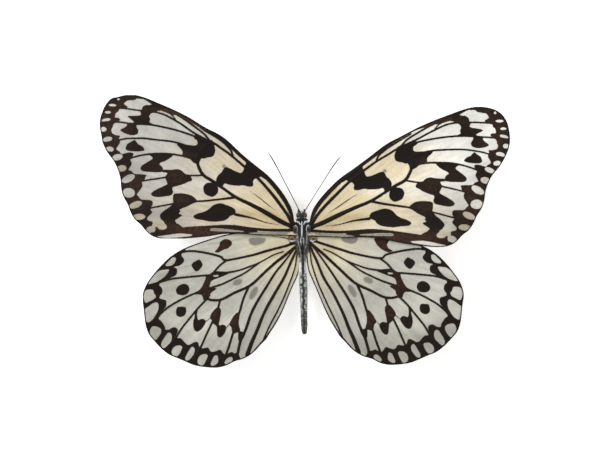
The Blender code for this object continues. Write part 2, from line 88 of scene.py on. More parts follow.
def smooth(points: Sequence[Point], step: float, closed: bool = False) -> Array:
    """Runs a smooth curve through a few points.

    Args:
        points: The points it passes, of any number of coordinates.
        step: About how far apart the curve's own points are.
        closed: Whether the curve comes back to its first point.

    Returns:
        The curve's points, one a row, without the first one repeated at the end.
    """
    given = np.array(points, float)
    if closed:
        padded = np.vstack([given[-1], given, given[:2]])
    else:
        padded = np.vstack([2 * given[0] - given[1], given, 2 * given[-1] - given[-2]])
    line = []
    for a, b, c, d in zip(padded, padded[1:], padded[2:], padded[3:]):
        count = max(1, round(float(np.linalg.norm(c - b)) / step))
        for i in range(count):
            t = i / count
            line.append(0.5 * (2 * b + (c - a) * t + (2 * a - 5 * b + 4 * c - d) * t**2
                               + (3 * b - a - 3 * c + d) * t**3))
    if not closed:
        line.append(given[-1])
    return np.array(line)


def nearest_on(places: Array, line: Array) -> tuple[Array, Array, Array]:
    """Finds the nearest point of a line to each place.

    Args:
        places: Places in plan, one a row.
        line: Points of the line, one a row.

    Returns:
        The distances, the nearest points, and how far along the line each one is, from 0 to 1.
    """
    best = np.full(len(places), np.inf)
    feet = np.zeros((len(places), 2))
    share = np.zeros(len(places))
    lengths = np.linalg.norm(np.diff(line, axis=0), axis=1)
    total = max(float(lengths.sum()), 1e-9)
    done = 0.0
    for a, b, length in zip(line, line[1:], lengths):
        run = b - a
        t = np.clip(((places - a) @ run) / max(float(run @ run), 1e-12), 0, 1)
        foot = a + t[:, None] * run
        gap = np.hypot(places[:, 0] - foot[:, 0], places[:, 1] - foot[:, 1])
        closer = gap < best
        best[closer] = gap[closer]
        feet[closer] = foot[closer]
        share[closer] = (done + t[closer] * length) / total
        done += length
    return best, feet, share


def is_in(places: Array, ring: Array) -> Array:
    """Says which places lie inside a closed ring.

    Args:
        places: Places in plan, one a row.
        ring: The ring's points, one a row.

    Returns:
        True for each place inside.
    """
    inside = np.zeros(len(places), bool)
    for (ax, ay), (bx, by) in zip(ring, np.roll(ring, -1, axis=0)):
        if ay == by:
            continue
        crosses = (ay > places[:, 1]) != (by > places[:, 1])
        inside ^= crosses & (places[:, 0] < ax + (bx - ax) * (places[:, 1] - ay) / (by - ay))
    return inside


def around(places: Array, line: Array) -> Array:
    """Says which places lie in or near a line's box."""
    return np.all((places > line.min(0) - FAR) & (places < line.max(0) + FAR), axis=1)


def depth_in(places: Array, shapes: Sequence[Shape]) -> Array:
    """How deep each place lies inside any of some closed shapes: below zero outside them.

    Args:
        places: Places in plan, one a row.
        shapes: The points that each shape's outline passes.

    Returns:
        The signed depths.
    """
    depth = np.full(len(places), -FAR)
    for shape in shapes:
        ring = smooth(shape, 0.4, closed=True)
        near = around(places, ring)
        if near.any():
            gap = nearest_on(places[near], np.vstack([ring, ring[:1]]))[0]
            drawn = np.where(is_in(places[near], ring), gap, -gap)
            depth[near] = np.maximum(depth[near], drawn)
    return depth


def depth_in_lines(places: Array, lines: Lines) -> Array:
    """How deep each place lies inside any of some drawn lines: below zero outside them.

    Args:
        places: Places in plan, one a row.
        lines: For each line the points it passes and its half widths, evenly spaced along it.

    Returns:
        The signed depths.
    """
    depth = np.full(len(places), -FAR)
    for points, widths in lines:
        line = smooth(points, 0.5)
        near = around(places, line)
        if near.any():
            gap, _, share = nearest_on(places[near], line)
            drawn = np.interp(share, np.linspace(0, 1, len(widths)), widths) - gap
            depth[near] = np.maximum(depth[near], drawn)
    return depth


def oval(x: float, y: float, long: float, wide: float, turn: float = 0.0) -> Shape:
    """Points round an oval.

    Args:
        x: Its middle, away from the body.
        y: Its middle, to the front.
        long: Half its length.
        wide: Half its width.
        turn: Degrees that its length is turned from X.

    Returns:
        Ten points round it.
    """
    cosine, sine = math.cos(math.radians(turn)), math.sin(math.radians(turn))
    ring = []
    for i in range(10):
        u, v = long * math.cos(i * math.pi / 5), wide * math.sin(i * math.pi / 5)
        ring.append((x + u * cosine - v * sine, y + u * sine + v * cosine))
    return tuple(ring)


def fade(value: Array, low: float, high: float) -> Array:
    """Goes smoothly from 0 at the low value to 1 at the high one."""
    t = np.clip((value - low) / (high - low), 0, 1)
    return t * t * (3 - 2 * t)


def swells(places: Array, areas: Sequence[Point]) -> Array:
    """Soft oval areas in plan: the strongest that reaches each place.

    Args:
        places: Places in plan, one a row.
        areas: For each area its middle x and y, its two radii and its strength.

    Returns:
        The strengths.
    """
    best = np.zeros(len(places))
    for x, y, rx, ry, strength in areas:
        away = ((places[:, 0] - x) / rx) ** 2 + ((places[:, 1] - y) / ry) ** 2
        best = np.maximum(best, strength * np.exp(-away))
    return best


def ripples(places: Array, length: float, seed: int) -> Array:
    """Smooth irregular waves in plan, from -1 to 1, alike on every run.

    Args:
        places: Places in plan, one a row.
        length: About how long a wave is.
        seed: Which set of waves.

    Returns:
        The height of the waves at each place.
    """
    draw = np.random.default_rng(seed)
    height = np.zeros(len(places))
    for _ in range(6):
        turn, phase = draw.uniform(0, 2 * math.pi, 2)
        rate = 2 * math.pi / (length * draw.uniform(0.7, 1.5))
        height += np.sin(rate * (places @ np.array([math.cos(turn), math.sin(turn)])) + phase)
    return height / 6 * 1.6


def ring_faces(levels: int, sides: int, flipped: bool = False) -> Faces:
    """Joins rings of points into a skin that is closed at both ends.

    Args:
        levels: How many rings there are.
        sides: Points in each ring.
        flipped: Whether the rings turn the other way.

    Returns:
        The faces, as point numbers.
    """
    faces = []
    for low in range(0, (levels - 1) * sides, sides):
        for k in range(sides):
            j, high = (k + 1) % sides, low + sides
            faces.append((low + k, low + j, high + j, high + k) if flipped
                         else (low + k, high + k, high + j, low + j))
    last = levels * sides - 1
    ends = [tuple(range(sides)), tuple(range(last, last - sides, -1))]
    return faces + ([end[::-1] for end in ends] if flipped else ends)


def tube(path: Array, radii: Array, sides: int, flat: float = 1.0) -> tuple[Array, Faces]:
    """A skin round a path, closed at both ends.

    Args:
        path: The path's points, one a row.
        radii: The radius at each point.
        sides: Points round the path.
        flat: Height as a share of width.

    Returns:
        The skin's points and faces.
    """
    rings, across = [], None
    for i, middle in enumerate(path):
        ahead = Vector(path[min(i + 1, len(path) - 1)] - path[max(i - 1, 0)]).normalized()
        if across is None:
            across = ahead.cross(Vector((0, 0, 1)))
            across = across if across.length > 0.1 else ahead.orthogonal()
        across = (across - ahead * across.dot(ahead)).normalized()
        other = across.cross(ahead) * flat
        for turn in 2 * math.pi * np.arange(sides) / sides:
            spoke = across * math.cos(turn) + other * math.sin(turn)
            rings.append(middle + np.array(spoke) * radii[i])
    return np.array(rings), ring_faces(len(path), sides)


def new_object(name: str, data: bpy.types.ID) -> Piece:
    """Makes an object and puts it in the scene."""
    made = bpy.data.objects.new(name, data)
    bpy.context.scene.collection.objects.link(made)
    return made


def make_piece(name: str, points: Array, faces: Faces, finish: Material | None = None) -> Piece:
    """Makes a mesh object from points in millimetres.

    Args:
        name: The piece's name.
        points: Its points, one a row.
        faces: Its faces, as point numbers.
        finish: The material it wears.

    Returns:
        The object, standing at the origin.
    """
    mesh = bpy.data.meshes.new(name)
    mesh.from_pydata((np.asarray(points) * MM).tolist(), [], faces)
    mesh.shade_smooth()
    if finish is not None:
        mesh.materials.append(finish)
    return new_object(name, mesh)


def mark(piece: Piece, **values: Array | float) -> None:
    """Stores values on a piece's points: plain numbers, or directions of three.

    Args:
        piece: The piece.
        values: Attribute names, each with one row a point, or one number for all.
    """
    for name, rows in values.items():
        rows = np.asarray(rows, np.float32)
        kind, key = ("FLOAT_VECTOR", "vector") if rows.ndim == 2 else ("FLOAT", "value")
        rows = rows if rows.ndim else np.full(len(piece.data.vertices), rows)
        piece.data.attributes.new(name, kind, "POINT").data.foreach_set(key, rows.ravel())


def settle(piece: Piece, slot: str, *nodes: str) -> None:
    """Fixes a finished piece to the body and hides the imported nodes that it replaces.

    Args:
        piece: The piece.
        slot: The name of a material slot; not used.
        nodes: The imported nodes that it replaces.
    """
    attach(piece, "root")
    if nodes:
        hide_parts(*nodes)
    LOG.info("%s: %d faces", piece.name, len(piece.data.polygons))


def node_box(name: str) -> list[Array]:
    """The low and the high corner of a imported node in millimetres."""
    return [np.array(corner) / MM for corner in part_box(name)]


def grown(name: str, host: Piece, group: bpy.types.NodeTree, **sizes: object) -> Piece:
    """Turns what geometry nodes make of a host into a plain mesh object.

    Args:
        name: The new object's name.
        host: What the nodes start from; it is removed.
        group: The nodes.
        sizes: Values of their inputs.

    Returns:
        The new object.
    """
    live = host.modifiers.new("grow", "NODES")
    live.node_group = group
    for item in group.interface.items_tree:
        if item.in_out == "INPUT" and item.name in sizes:
            live[item.identifier] = sizes[item.name]
    graph = bpy.context.evaluated_depsgraph_get()
    mesh = bpy.data.meshes.new_from_object(host.evaluated_get(graph), depsgraph=graph,
                                           preserve_all_data_layers=True)
    mesh.name = name
    bpy.data.objects.remove(host)
    return new_object(name, mesh)


class Tree:
    """A node tree under construction, for shaders and for geometry alike."""

    def __init__(self, tree: bpy.types.NodeTree) -> None:
        """Takes the tree that nodes are added to."""
        self.tree = tree

    @classmethod
    def group(cls, name: str, kind: str, inputs: Sequence[tuple[str, str, object]],
              outputs: Sequence[tuple[str, str]]) -> "Tree":
        """Starts a node group.

        Args:
            name: Its name.
            kind: Shader or Geometry.
            inputs: The name, type and starting value of each input.
            outputs: The name and type of each output.

        Returns:
            The group's tree.
        """
        made = bpy.data.node_groups.new(name, kind + "NodeTree")
        for way, sockets in (("INPUT", inputs), ("OUTPUT", outputs)):
            for label, sort, *start in sockets:
                socket = made.interface.new_socket(label, in_out=way,
                                                   socket_type="NodeSocket" + sort)
                if start and start[0] is not None:
                    socket.default_value = start[0]
        return cls(made)

    def set(self, socket: Socket, value: object) -> None:
        """Links another socket to this one, or sets its own value."""
        if isinstance(value, Socket):
            self.tree.links.new(value, socket)
        elif value is not None:
            socket.default_value = value

    def add(self, kind: str, inputs: dict[str | int, object] | None = None,
            **settings: object) -> bpy.types.Node:
        """Adds a node.

        Args:
            kind: Its type.
            inputs: Values or sockets for its inputs, by name or number.
            settings: Its own properties.

        Returns:
            The node.
        """
        node = self.tree.nodes.new(kind)
        for name, value in settings.items():
            setattr(node, name, value)
        for name, value in (inputs or {}).items():
            self.set(node.inputs[name], value)
        return node

    def math(self, operation: str, first: object, second: object = None,
             clamp: bool = False) -> Socket:
        """Works out a number from one or two others."""
        return self.add("ShaderNodeMath", {0: first, 1: second}, operation=operation,
                        use_clamp=clamp).outputs[0]

    def times(self, first: object, second: object, clamp: bool = False) -> Socket:
        """Multiplies two numbers."""
        return self.math("MULTIPLY", first, second, clamp)

    def vector(self, operation: str, first: object, second: object = None) -> Socket:
        """Works out a vector from one or two others."""
        node = self.add("ShaderNodeVectorMath", {0: first}, operation=operation)
        self.set(node.inputs["Scale" if operation == "SCALE" else 1], second)
        return node.outputs["Value" if operation == "LENGTH" else "Vector"]

    def blend(self, share: object, first: object, second: object) -> Socket:
        """Mixes two colours, from the first at a share of 0 to the second at 1."""
        return self.add("ShaderNodeMix", {0: share, 6: first, 7: second},
                        data_type="RGBA").outputs[2]

    def fade(self, value: object, low: float, high: float, start: float = 0.0,
             end: float = 1.0) -> Socket:
        """Goes smoothly from the start at the low value to the end at the high one."""
        return self.add("ShaderNodeMapRange", {
            "Value": value, "From Min": low, "From Max": high, "To Min": start, "To Max": end,
        }, interpolation_type="SMOOTHSTEP").outputs["Result"]

    def read(self, name: str) -> Socket:
        """Reads a number that is stored on the mesh."""
        return self.add("ShaderNodeAttribute", attribute_name=name).outputs["Fac"]

    def noise(self, vector: object, scale: float, detail: float = 2.0) -> Socket:
        """Soft irregular patches from 0 to 1."""
        return self.add("ShaderNodeTexNoise", {"Vector": vector, "Scale": scale,
                                               "Detail": detail}).outputs["Fac"]


@cache
def scale_cover() -> bpy.types.NodeTree:
    """Makes the node group that lays small overlapping scales over a surface.

    Returns:
        The group, with each scale's chance from 0 to 1 and the height of the cover.
    """
    tree = Tree.group("scale_cover", "Shader", (("Vector", "Vector", None), ("Size", "Float", 0.1)),
                      (("Chance", "Float"), ("Height", "Float")))
    given = tree.add("NodeGroupInput").outputs
    rows = tree.vector("MULTIPLY", given["Vector"], (0.62, 1.0, 1.0))
    cells = tree.add("ShaderNodeTexVoronoi", {
        "Vector": rows, "Scale": tree.math("DIVIDE", 1.0, given["Size"]), "Randomness": 0.75,
    }, voronoi_dimensions="2D").outputs
    chance = tree.add("ShaderNodeSeparateColor", {0: cells["Color"]}).outputs[0]
    dome = tree.math("SUBTRACT", 1.0, tree.math("POWER", cells["Distance"], 2.0))
    height = tree.math("ADD", tree.times(chance, 0.35), dome)
    tree.add("NodeGroupOutput", {"Chance": chance, "Height": height})
    return tree.tree


class Surface(Tree):
    """A material under construction."""

    def __init__(self, name: str) -> None:
        """Starts a material whose places are told in millimetres."""
        self.made = bpy.data.materials.new(name)
        self.made.use_nodes = True
        super().__init__(self.made.node_tree)
        place = self.add("ShaderNodeTexCoord").outputs["Object"]
        self.place = self.vector("SCALE", place, 1 / MM)

    def scales(self, size: float, place: Socket) -> bpy.types.NodeOutputs:
        """Lays scales of a size over the surface and gives their chance and height."""
        return self.add("ShaderNodeGroup", {"Vector": place, "Size": size},
                        node_tree=scale_cover()).outputs

    def finish(self, colour: Socket, rough: Socket | float, relief: Socket | None = None,
               strength: float = 0.6, **levels: object) -> Material:
        """Dresses the shader.

        Args:
            colour: The surface's colour.
            rough: Its roughness.
            relief: Its fine relief in millimetres.
            strength: How strongly the relief shows.
            levels: The shader's other values, their names written with underscores.

        Returns:
            The finished material.
        """
        shader = self.tree.nodes["Principled BSDF"]
        self.set(shader.inputs["Base Color"], colour)
        self.set(shader.inputs["Roughness"], rough)
        for name, value in levels.items():
            shader.inputs[name.replace("_", " ")].default_value = value
        if relief is not None:
            bump = self.add("ShaderNodeBump", {"Height": relief, "Distance": MM,
                                               "Strength": strength})
            self.set(shader.inputs["Normal"], bump.outputs[0])
        return self.made


class Roots(Enum):
    """What blades grow from."""

    STREWN_OVER_FACES = "strewn over faces"
    ONE_A_POINT = "one a point"


class GrowthTree:
    """The geometry nodes that grow tapered blades on a surface or on given points."""

    inputs = (("Geometry", "Geometry", None), ("Density", "Float", 10.0),
              ("Width", "Float", 0.03), ("Spread", "Float", 0.25), ("Seed", "Int", 1),
              ("Finish", "Material", None))

    def __init__(self, name: str, rooted: Roots) -> None:
        """Builds the tree.

        Args:
            name: Its name.
            rooted: What its blades grow from.
        """
        self.tree = Tree.group(name, "Geometry", self.inputs, (("Geometry", "Geometry"),))
        self.given = self.tree.add("NodeGroupInput").outputs
        self.tree.add("NodeGroupOutput", {0: self.dressed(self.blades(self.roots(rooted)))})

    def named(self, name: str, kind: str = "FLOAT") -> Socket:
        """Reads an attribute of the surface."""
        node = self.tree.add("GeometryNodeInputNamedAttribute", {"Name": name}, data_type=kind)
        return node.outputs["Attribute"]

    def roots(self, rooted: Roots) -> Socket:
        """Finds the points that blades grow from.

        Args:
            rooted: What they grow from.

        Returns:
            The points.
        """
        surface = {"Mesh": self.given["Geometry"]}
        if rooted is Roots.ONE_A_POINT:
            return self.tree.add("GeometryNodeMeshToPoints", surface).outputs[0]
        density = self.tree.times(self.given["Density"], self.named("thick"))
        return self.tree.add("GeometryNodeDistributePointsOnFaces", {
            **surface, "Density": density, "Seed": self.given["Seed"],
        }, distribute_method="RANDOM").outputs["Points"]

    def blades(self, roots: Socket) -> Socket:
        """Sets a bent, tapered blade on each root.

        Args:
            roots: The points.

        Returns:
            The blades as plain mesh.
        """
        tree, seed = self.tree, self.given["Seed"]
        cone = tree.add("GeometryNodeMeshCone", {
            "Vertices": 3, "Side Segments": 2, "Radius Top": 0.06, "Radius Bottom": 1.0,
            "Depth": 1.0}).outputs
        shaped = tree.add("GeometryNodeStoreNamedAttribute", {
            "Geometry": cone["Mesh"], "Name": "blade_map", "Value": cone["UV Map"],
        }, data_type="FLOAT2", domain="CORNER").outputs[0]
        jitter = tree.add("FunctionNodeRandomValue", {
            "Min": (-1, -1, -1), "Max": (1, 1, 1), "Seed": seed},
            data_type="FLOAT_VECTOR").outputs["Value"]
        aim = tree.vector("ADD", self.named("lie", "FLOAT_VECTOR"),
                          tree.vector("SCALE", jitter, self.given["Spread"]))
        turned = tree.add("FunctionNodeAlignRotationToVector", {"Vector": aim}, axis="Z")
        vary = tree.add("FunctionNodeRandomValue", {2: 0.65, 3: 1.25, "Seed": seed},
                        data_type="FLOAT").outputs[1]
        long = tree.times(self.named("length"), tree.times(vary, MM))
        wide = tree.times(self.given["Width"], MM)
        size = tree.add("ShaderNodeCombineXYZ", {"X": wide, "Y": wide, "Z": long}).outputs[0]
        placed = tree.add("GeometryNodeInstanceOnPoints", {
            "Points": roots, "Instance": shaped, "Rotation": turned.outputs["Rotation"],
            "Scale": size}).outputs[0]
        return tree.add("GeometryNodeRealizeInstances", {"Geometry": placed}).outputs[0]

    def dressed(self, blades: Socket) -> Socket:
        """Gives every blade its small patch of the surface's map and its material.

        Args:
            blades: The blades.

        Returns:
            The finished mesh.
        """
        tree = self.tree
        patch = tree.vector("SCALE", self.named("blade_map", "FLOAT_VECTOR"), 0.003)
        spot = tree.vector("ADD", self.named("root_map", "FLOAT_VECTOR"), patch)
        mapped = tree.add("GeometryNodeStoreNamedAttribute", {
            "Geometry": blades, "Name": "OFBake", "Value": spot},
            data_type="FLOAT2", domain="CORNER").outputs[0]
        smoothed = tree.add("GeometryNodeSetShadeSmooth", {"Geometry": mapped}).outputs[0]
        return tree.add("GeometryNodeSetMaterial", {
            "Geometry": smoothed, "Material": self.given["Finish"]}).outputs[0]


@cache
def blade_on_point() -> bpy.types.NodeTree:
    """The nodes that set a blade on each point."""
    return GrowthTree("blade_on_point", Roots.ONE_A_POINT).tree.tree


@dataclass
class Strands:
    """Hairs, spines or fringe scales that grow as one piece, one from each root."""

    roots: Sequence[Array] = field(default_factory=list)
    lies: Sequence[Array] = field(default_factory=list)
    lengths: Sequence[float] | float = field(default_factory=list)

    def add(self, root: Array, lie: Array, length: float) -> None:
        """Adds one strand."""
        for row, value in ((self.roots, root), (self.lies, lie), (self.lengths, length)):
            row.append(value)

    def grow(self, name: str, slot: str, finish: Material, width: float, spread: float,
             seed: int, **marks: Array | float) -> None:
        """Grows them.

        Args:
            name: The piece's name.
            slot: The name of a material slot, passed on to settle.
            finish: The strands' material.
            width: Half a strand's width at its root.
            spread: How much their directions vary.
            seed: Which set of random directions and lengths.
            marks: What the finish reads at each root, by attribute name.
        """
        host = make_piece(name + "_roots", self.roots, [])
        count = len(self.roots)
        spots = np.stack([np.linspace(0, 0.9, count), np.full(count, 0.5), np.zeros(count)], -1)
        mark(host, **{"root_map": spots, **marks}, lie=self.lies, length=self.lengths)
        settle(grown(name, host, blade_on_point(), Width=width, Spread=spread, Seed=seed,
                     Finish=finish), slot)


LATTICE_STEP = 0.21
SHEET = 0.11  # thickness of a wing's membrane
FRINGE = 0.08  # width of the fringe outside the membrane
RISE_AT_ROOT, RISE_FALLOFF, REAR_DROOP = math.tan(math.radians(6.5)), 0.0006, 0.012

FOREWING_OUTLINE = (
    (-0.5, 1.8), (0.8, 2.2), (1.2, 3.8), (2.2, 6.7), (5, 10.6), (10, 15.7), (15, 19.3),
    (20, 23), (25, 26.8), (30, 29.5), (35, 32.1), (40, 34.3), (45, 36.2),
    (50, 38), (53.5, 38.7), (56.5, 38.6), (59.5, 37.8), (61.8, 36.3), (63.4, 33.9),
    (64.1, 31.2), (64.4, 28.2), (64, 25.6), (62.8, 22.6), (61, 19.6), (59, 17.2),
    (57.6, 14.6), (56.7, 11.8), (56.3, 9), (55.5, 6.6), (53.9, 4), (52.9, 1.8),
    (51.4, -0.4), (49.4, -2), (47.6, -3.9), (45.6, -5.2), (42.5, -5.8), (38, -5.6),
    (33, -5), (28, -4.1), (23, -3), (18, -2.7), (12, -2.8), (6, -2.6),
    (2, -2.4), (-0.5, -2),
)
FOREWING_VEINS = {
    "subcosta": ((1.6, 3.6), (4.6, 8.4), (10, 14.2), (15, 18.2), (20, 21.9), (25, 25.6)),
    "radius": (
        (0.9, 1.2), (5, 6.3), (10, 11.5), (14, 15.3), (18, 18.4), (22, 21.3),
        (26, 23.7), (29.3, 25.7), (35, 28.4), (40.3, 31.2), (45, 33.2), (50, 33.7),
        (56, 33.6), (60, 33.2), (63.6, 32.5),
    ),
    "radius_1": ((22, 21.3), (22.9, 23.2), (25.4, 25.4), (29, 27.7), (33, 30.1)),
    "radius_2": ((29.6, 25.9), (32, 28.4), (36, 30.9), (40, 33.1), (44, 34.9)),
    "radius_4": ((40.3, 31.2), (43, 32.9), (46, 34.3), (50, 35.4), (54, 36.5), (58.5, 37.3)),
    "media_1": (
        (30.4, 25.1), (35, 27.4), (40, 28.5), (45, 29.2), (50, 29.4), (55, 29.1),
        (60, 28.8), (63.9, 28.3),
    ),
    "media_2": (
        (33, 22.7), (36, 23.9), (40, 24.8), (45, 25.1), (50, 25.1), (55, 24.4),
        (59, 23.3), (62.4, 22.5),
    ),
    "media_3": (
        (33.4, 19.6), (36.5, 20.7), (41, 21), (46, 20.8), (50, 20), (54, 18.6),
        (58.2, 16.6),
    ),
    "cubitus": (
        (1, 0.4), (5, 1.9), (10, 4.3), (15, 6.6), (20.3, 8.8), (25, 11.7),
        (28, 13.6), (31.2, 15.4), (32.6, 17.5), (33.4, 19.6), (33.6, 21.2), (33, 22.7),
        (31.6, 24.4), (29.3, 25.7),
    ),
    "cubital_1": ((31.2, 15.4), (35, 14.8), (40, 14.1), (45, 13), (49.5, 11.9), (56, 9.9)),
    "cubital_2": (
        (20.3, 8.8), (25, 7.9), (30, 7.2), (35, 6.4), (40, 5.3), (45, 4), (52.6, 1.8),
    ),
    "anal": (
        (1, -0.5), (5, -0.8), (10, -1), (15, -0.8), (20, -0.4), (25, -0.7),
        (30, -1.3), (35, -2), (40, -2.9), (46, -4.5),
    ),
}
HINDWING_OUTLINE = (
    (-1.4, 0.8), (0.6, 1.5), (3, 2.6), (8, 3.5), (14, 3.6), (20, 2.9), (25, 1.9),
    (30, 0.4), (34, -1), (37.5, -2.3), (40, -3.8), (42, -5.4), (44.2, -7.7),
    (46.2, -10.2), (47.9, -12.6), (49, -15), (49.5, -17.6), (49.1, -20.6), (48.8, -23.6),
    (48.4, -26.4), (47.4, -29.1), (45.6, -31.3), (43.2, -33.8), (40.8, -35.6), (38, -36.8),
    (35.5, -37.9), (32.8, -39), (29.5, -39.6), (26, -39.8), (23, -39.2), (20.3, -37.9),
    (17.6, -37.1), (15.5, -36), (13.5, -34.4), (11.7, -32.4), (10.2, -30.9), (8.9, -28.8),
    (7.2, -26), (5.3, -22.2), (3.8, -18.6), (2.5, -15.5), (1.2, -12.6), (0.2, -10.2),
    (-0.3, -8), (-0.6, -5.5), (-1.4, -3.5),
)
HINDWING_VEINS = {
    "subcosta": ((1.6, 0.9), (6, 1.7), (12, 1.8), (18, 1.1), (24, 0), (29, -0.6)),
    "radius": (
        (1.5, -0.2), (5, -1.3), (10, -2.9), (15, -4.4), (22.8, -5.8), (25, -4.6),
        (30, -3.4), (35, -2.8), (38.3, -3.3),
    ),
    "media_1": (
        (22.8, -5.8), (25, -7.4), (27.6, -10.1), (30, -10.5), (35, -10.9), (40, -11.4),
        (43, -12.2), (48, -13.7),
    ),
    "media_2": (
        (29.4, -14.9), (33, -16.2), (37, -18), (41, -20.3), (43.5, -22.4), (46, -24.6),
        (48, -26),
    ),
    "media_3": (
        (28.8, -17.8), (31.5, -20.5), (34, -23.5), (37, -27.3), (39, -30.5), (42.4, -34),
    ),
    "cubitus": (
        (1, -1.2), (5, -4.6), (10, -9.2), (15, -13.7), (20, -16.1), (24.7, -18.3),
        (28.8, -17.8), (29.4, -14.9), (28.7, -12.2), (27.6, -10.1),
    ),
    "cubital_1": (
        (24.7, -18.3), (25.3, -20.5), (26, -22.6), (27.3, -25.4), (29, -29), (31, -33.5),
        (33.6, -38.2),
    ),
    "cubital_2": (
        (15.6, -14.1), (17.3, -18), (18.5, -22), (19.5, -25), (20.6, -28.8), (22, -33),
        (24.3, -39),
    ),
    "cell_fold": ((5, -2.9), (8, -4.2), (12, -6.5), (16, -8.1), (20, -9.3), (27.6, -10.1)),
    "cell_fork": ((12, -6.5), (17, -9.9), (20, -11.4), (24, -13.2), (29.4, -14.9)),
    "anal_1": (
        (1.8, -2.4), (6, -8.1), (9, -12.6), (12, -17.3), (14.7, -22.3), (16.5, -27.5),
        (18.2, -31.3), (19.8, -37.2),
    ),
    "anal_2": (
        (0.9, -2.6), (3, -7.2), (5, -12), (8, -17), (11, -23), (13, -28),
        (14.6, -31.6), (16.2, -35.8),
    ),
    "anal_3": ((0.7, -4.2), (1.3, -8), (3.4, -14.2), (6.2, -20.5), (9.3, -27), (11, -31)),
}


@dataclass(frozen=True)
class WingMarks:
    """What is drawn on a wing, in its own millimetres: x away from the body, y to the front."""

    vein_ink: dict[str, Point]
    margin_ink: float
    dark: tuple[Shape, ...]
    streaks: Lines
    pale: tuple[Shape, ...]
    veils: tuple[Shape, ...]
    brown: Shape
    brown_lines: Lines
    cream: Shape
    tan: Shape
    grey: Shape
    bleed: float = 0.08
    vein_bleed: float = 0.13


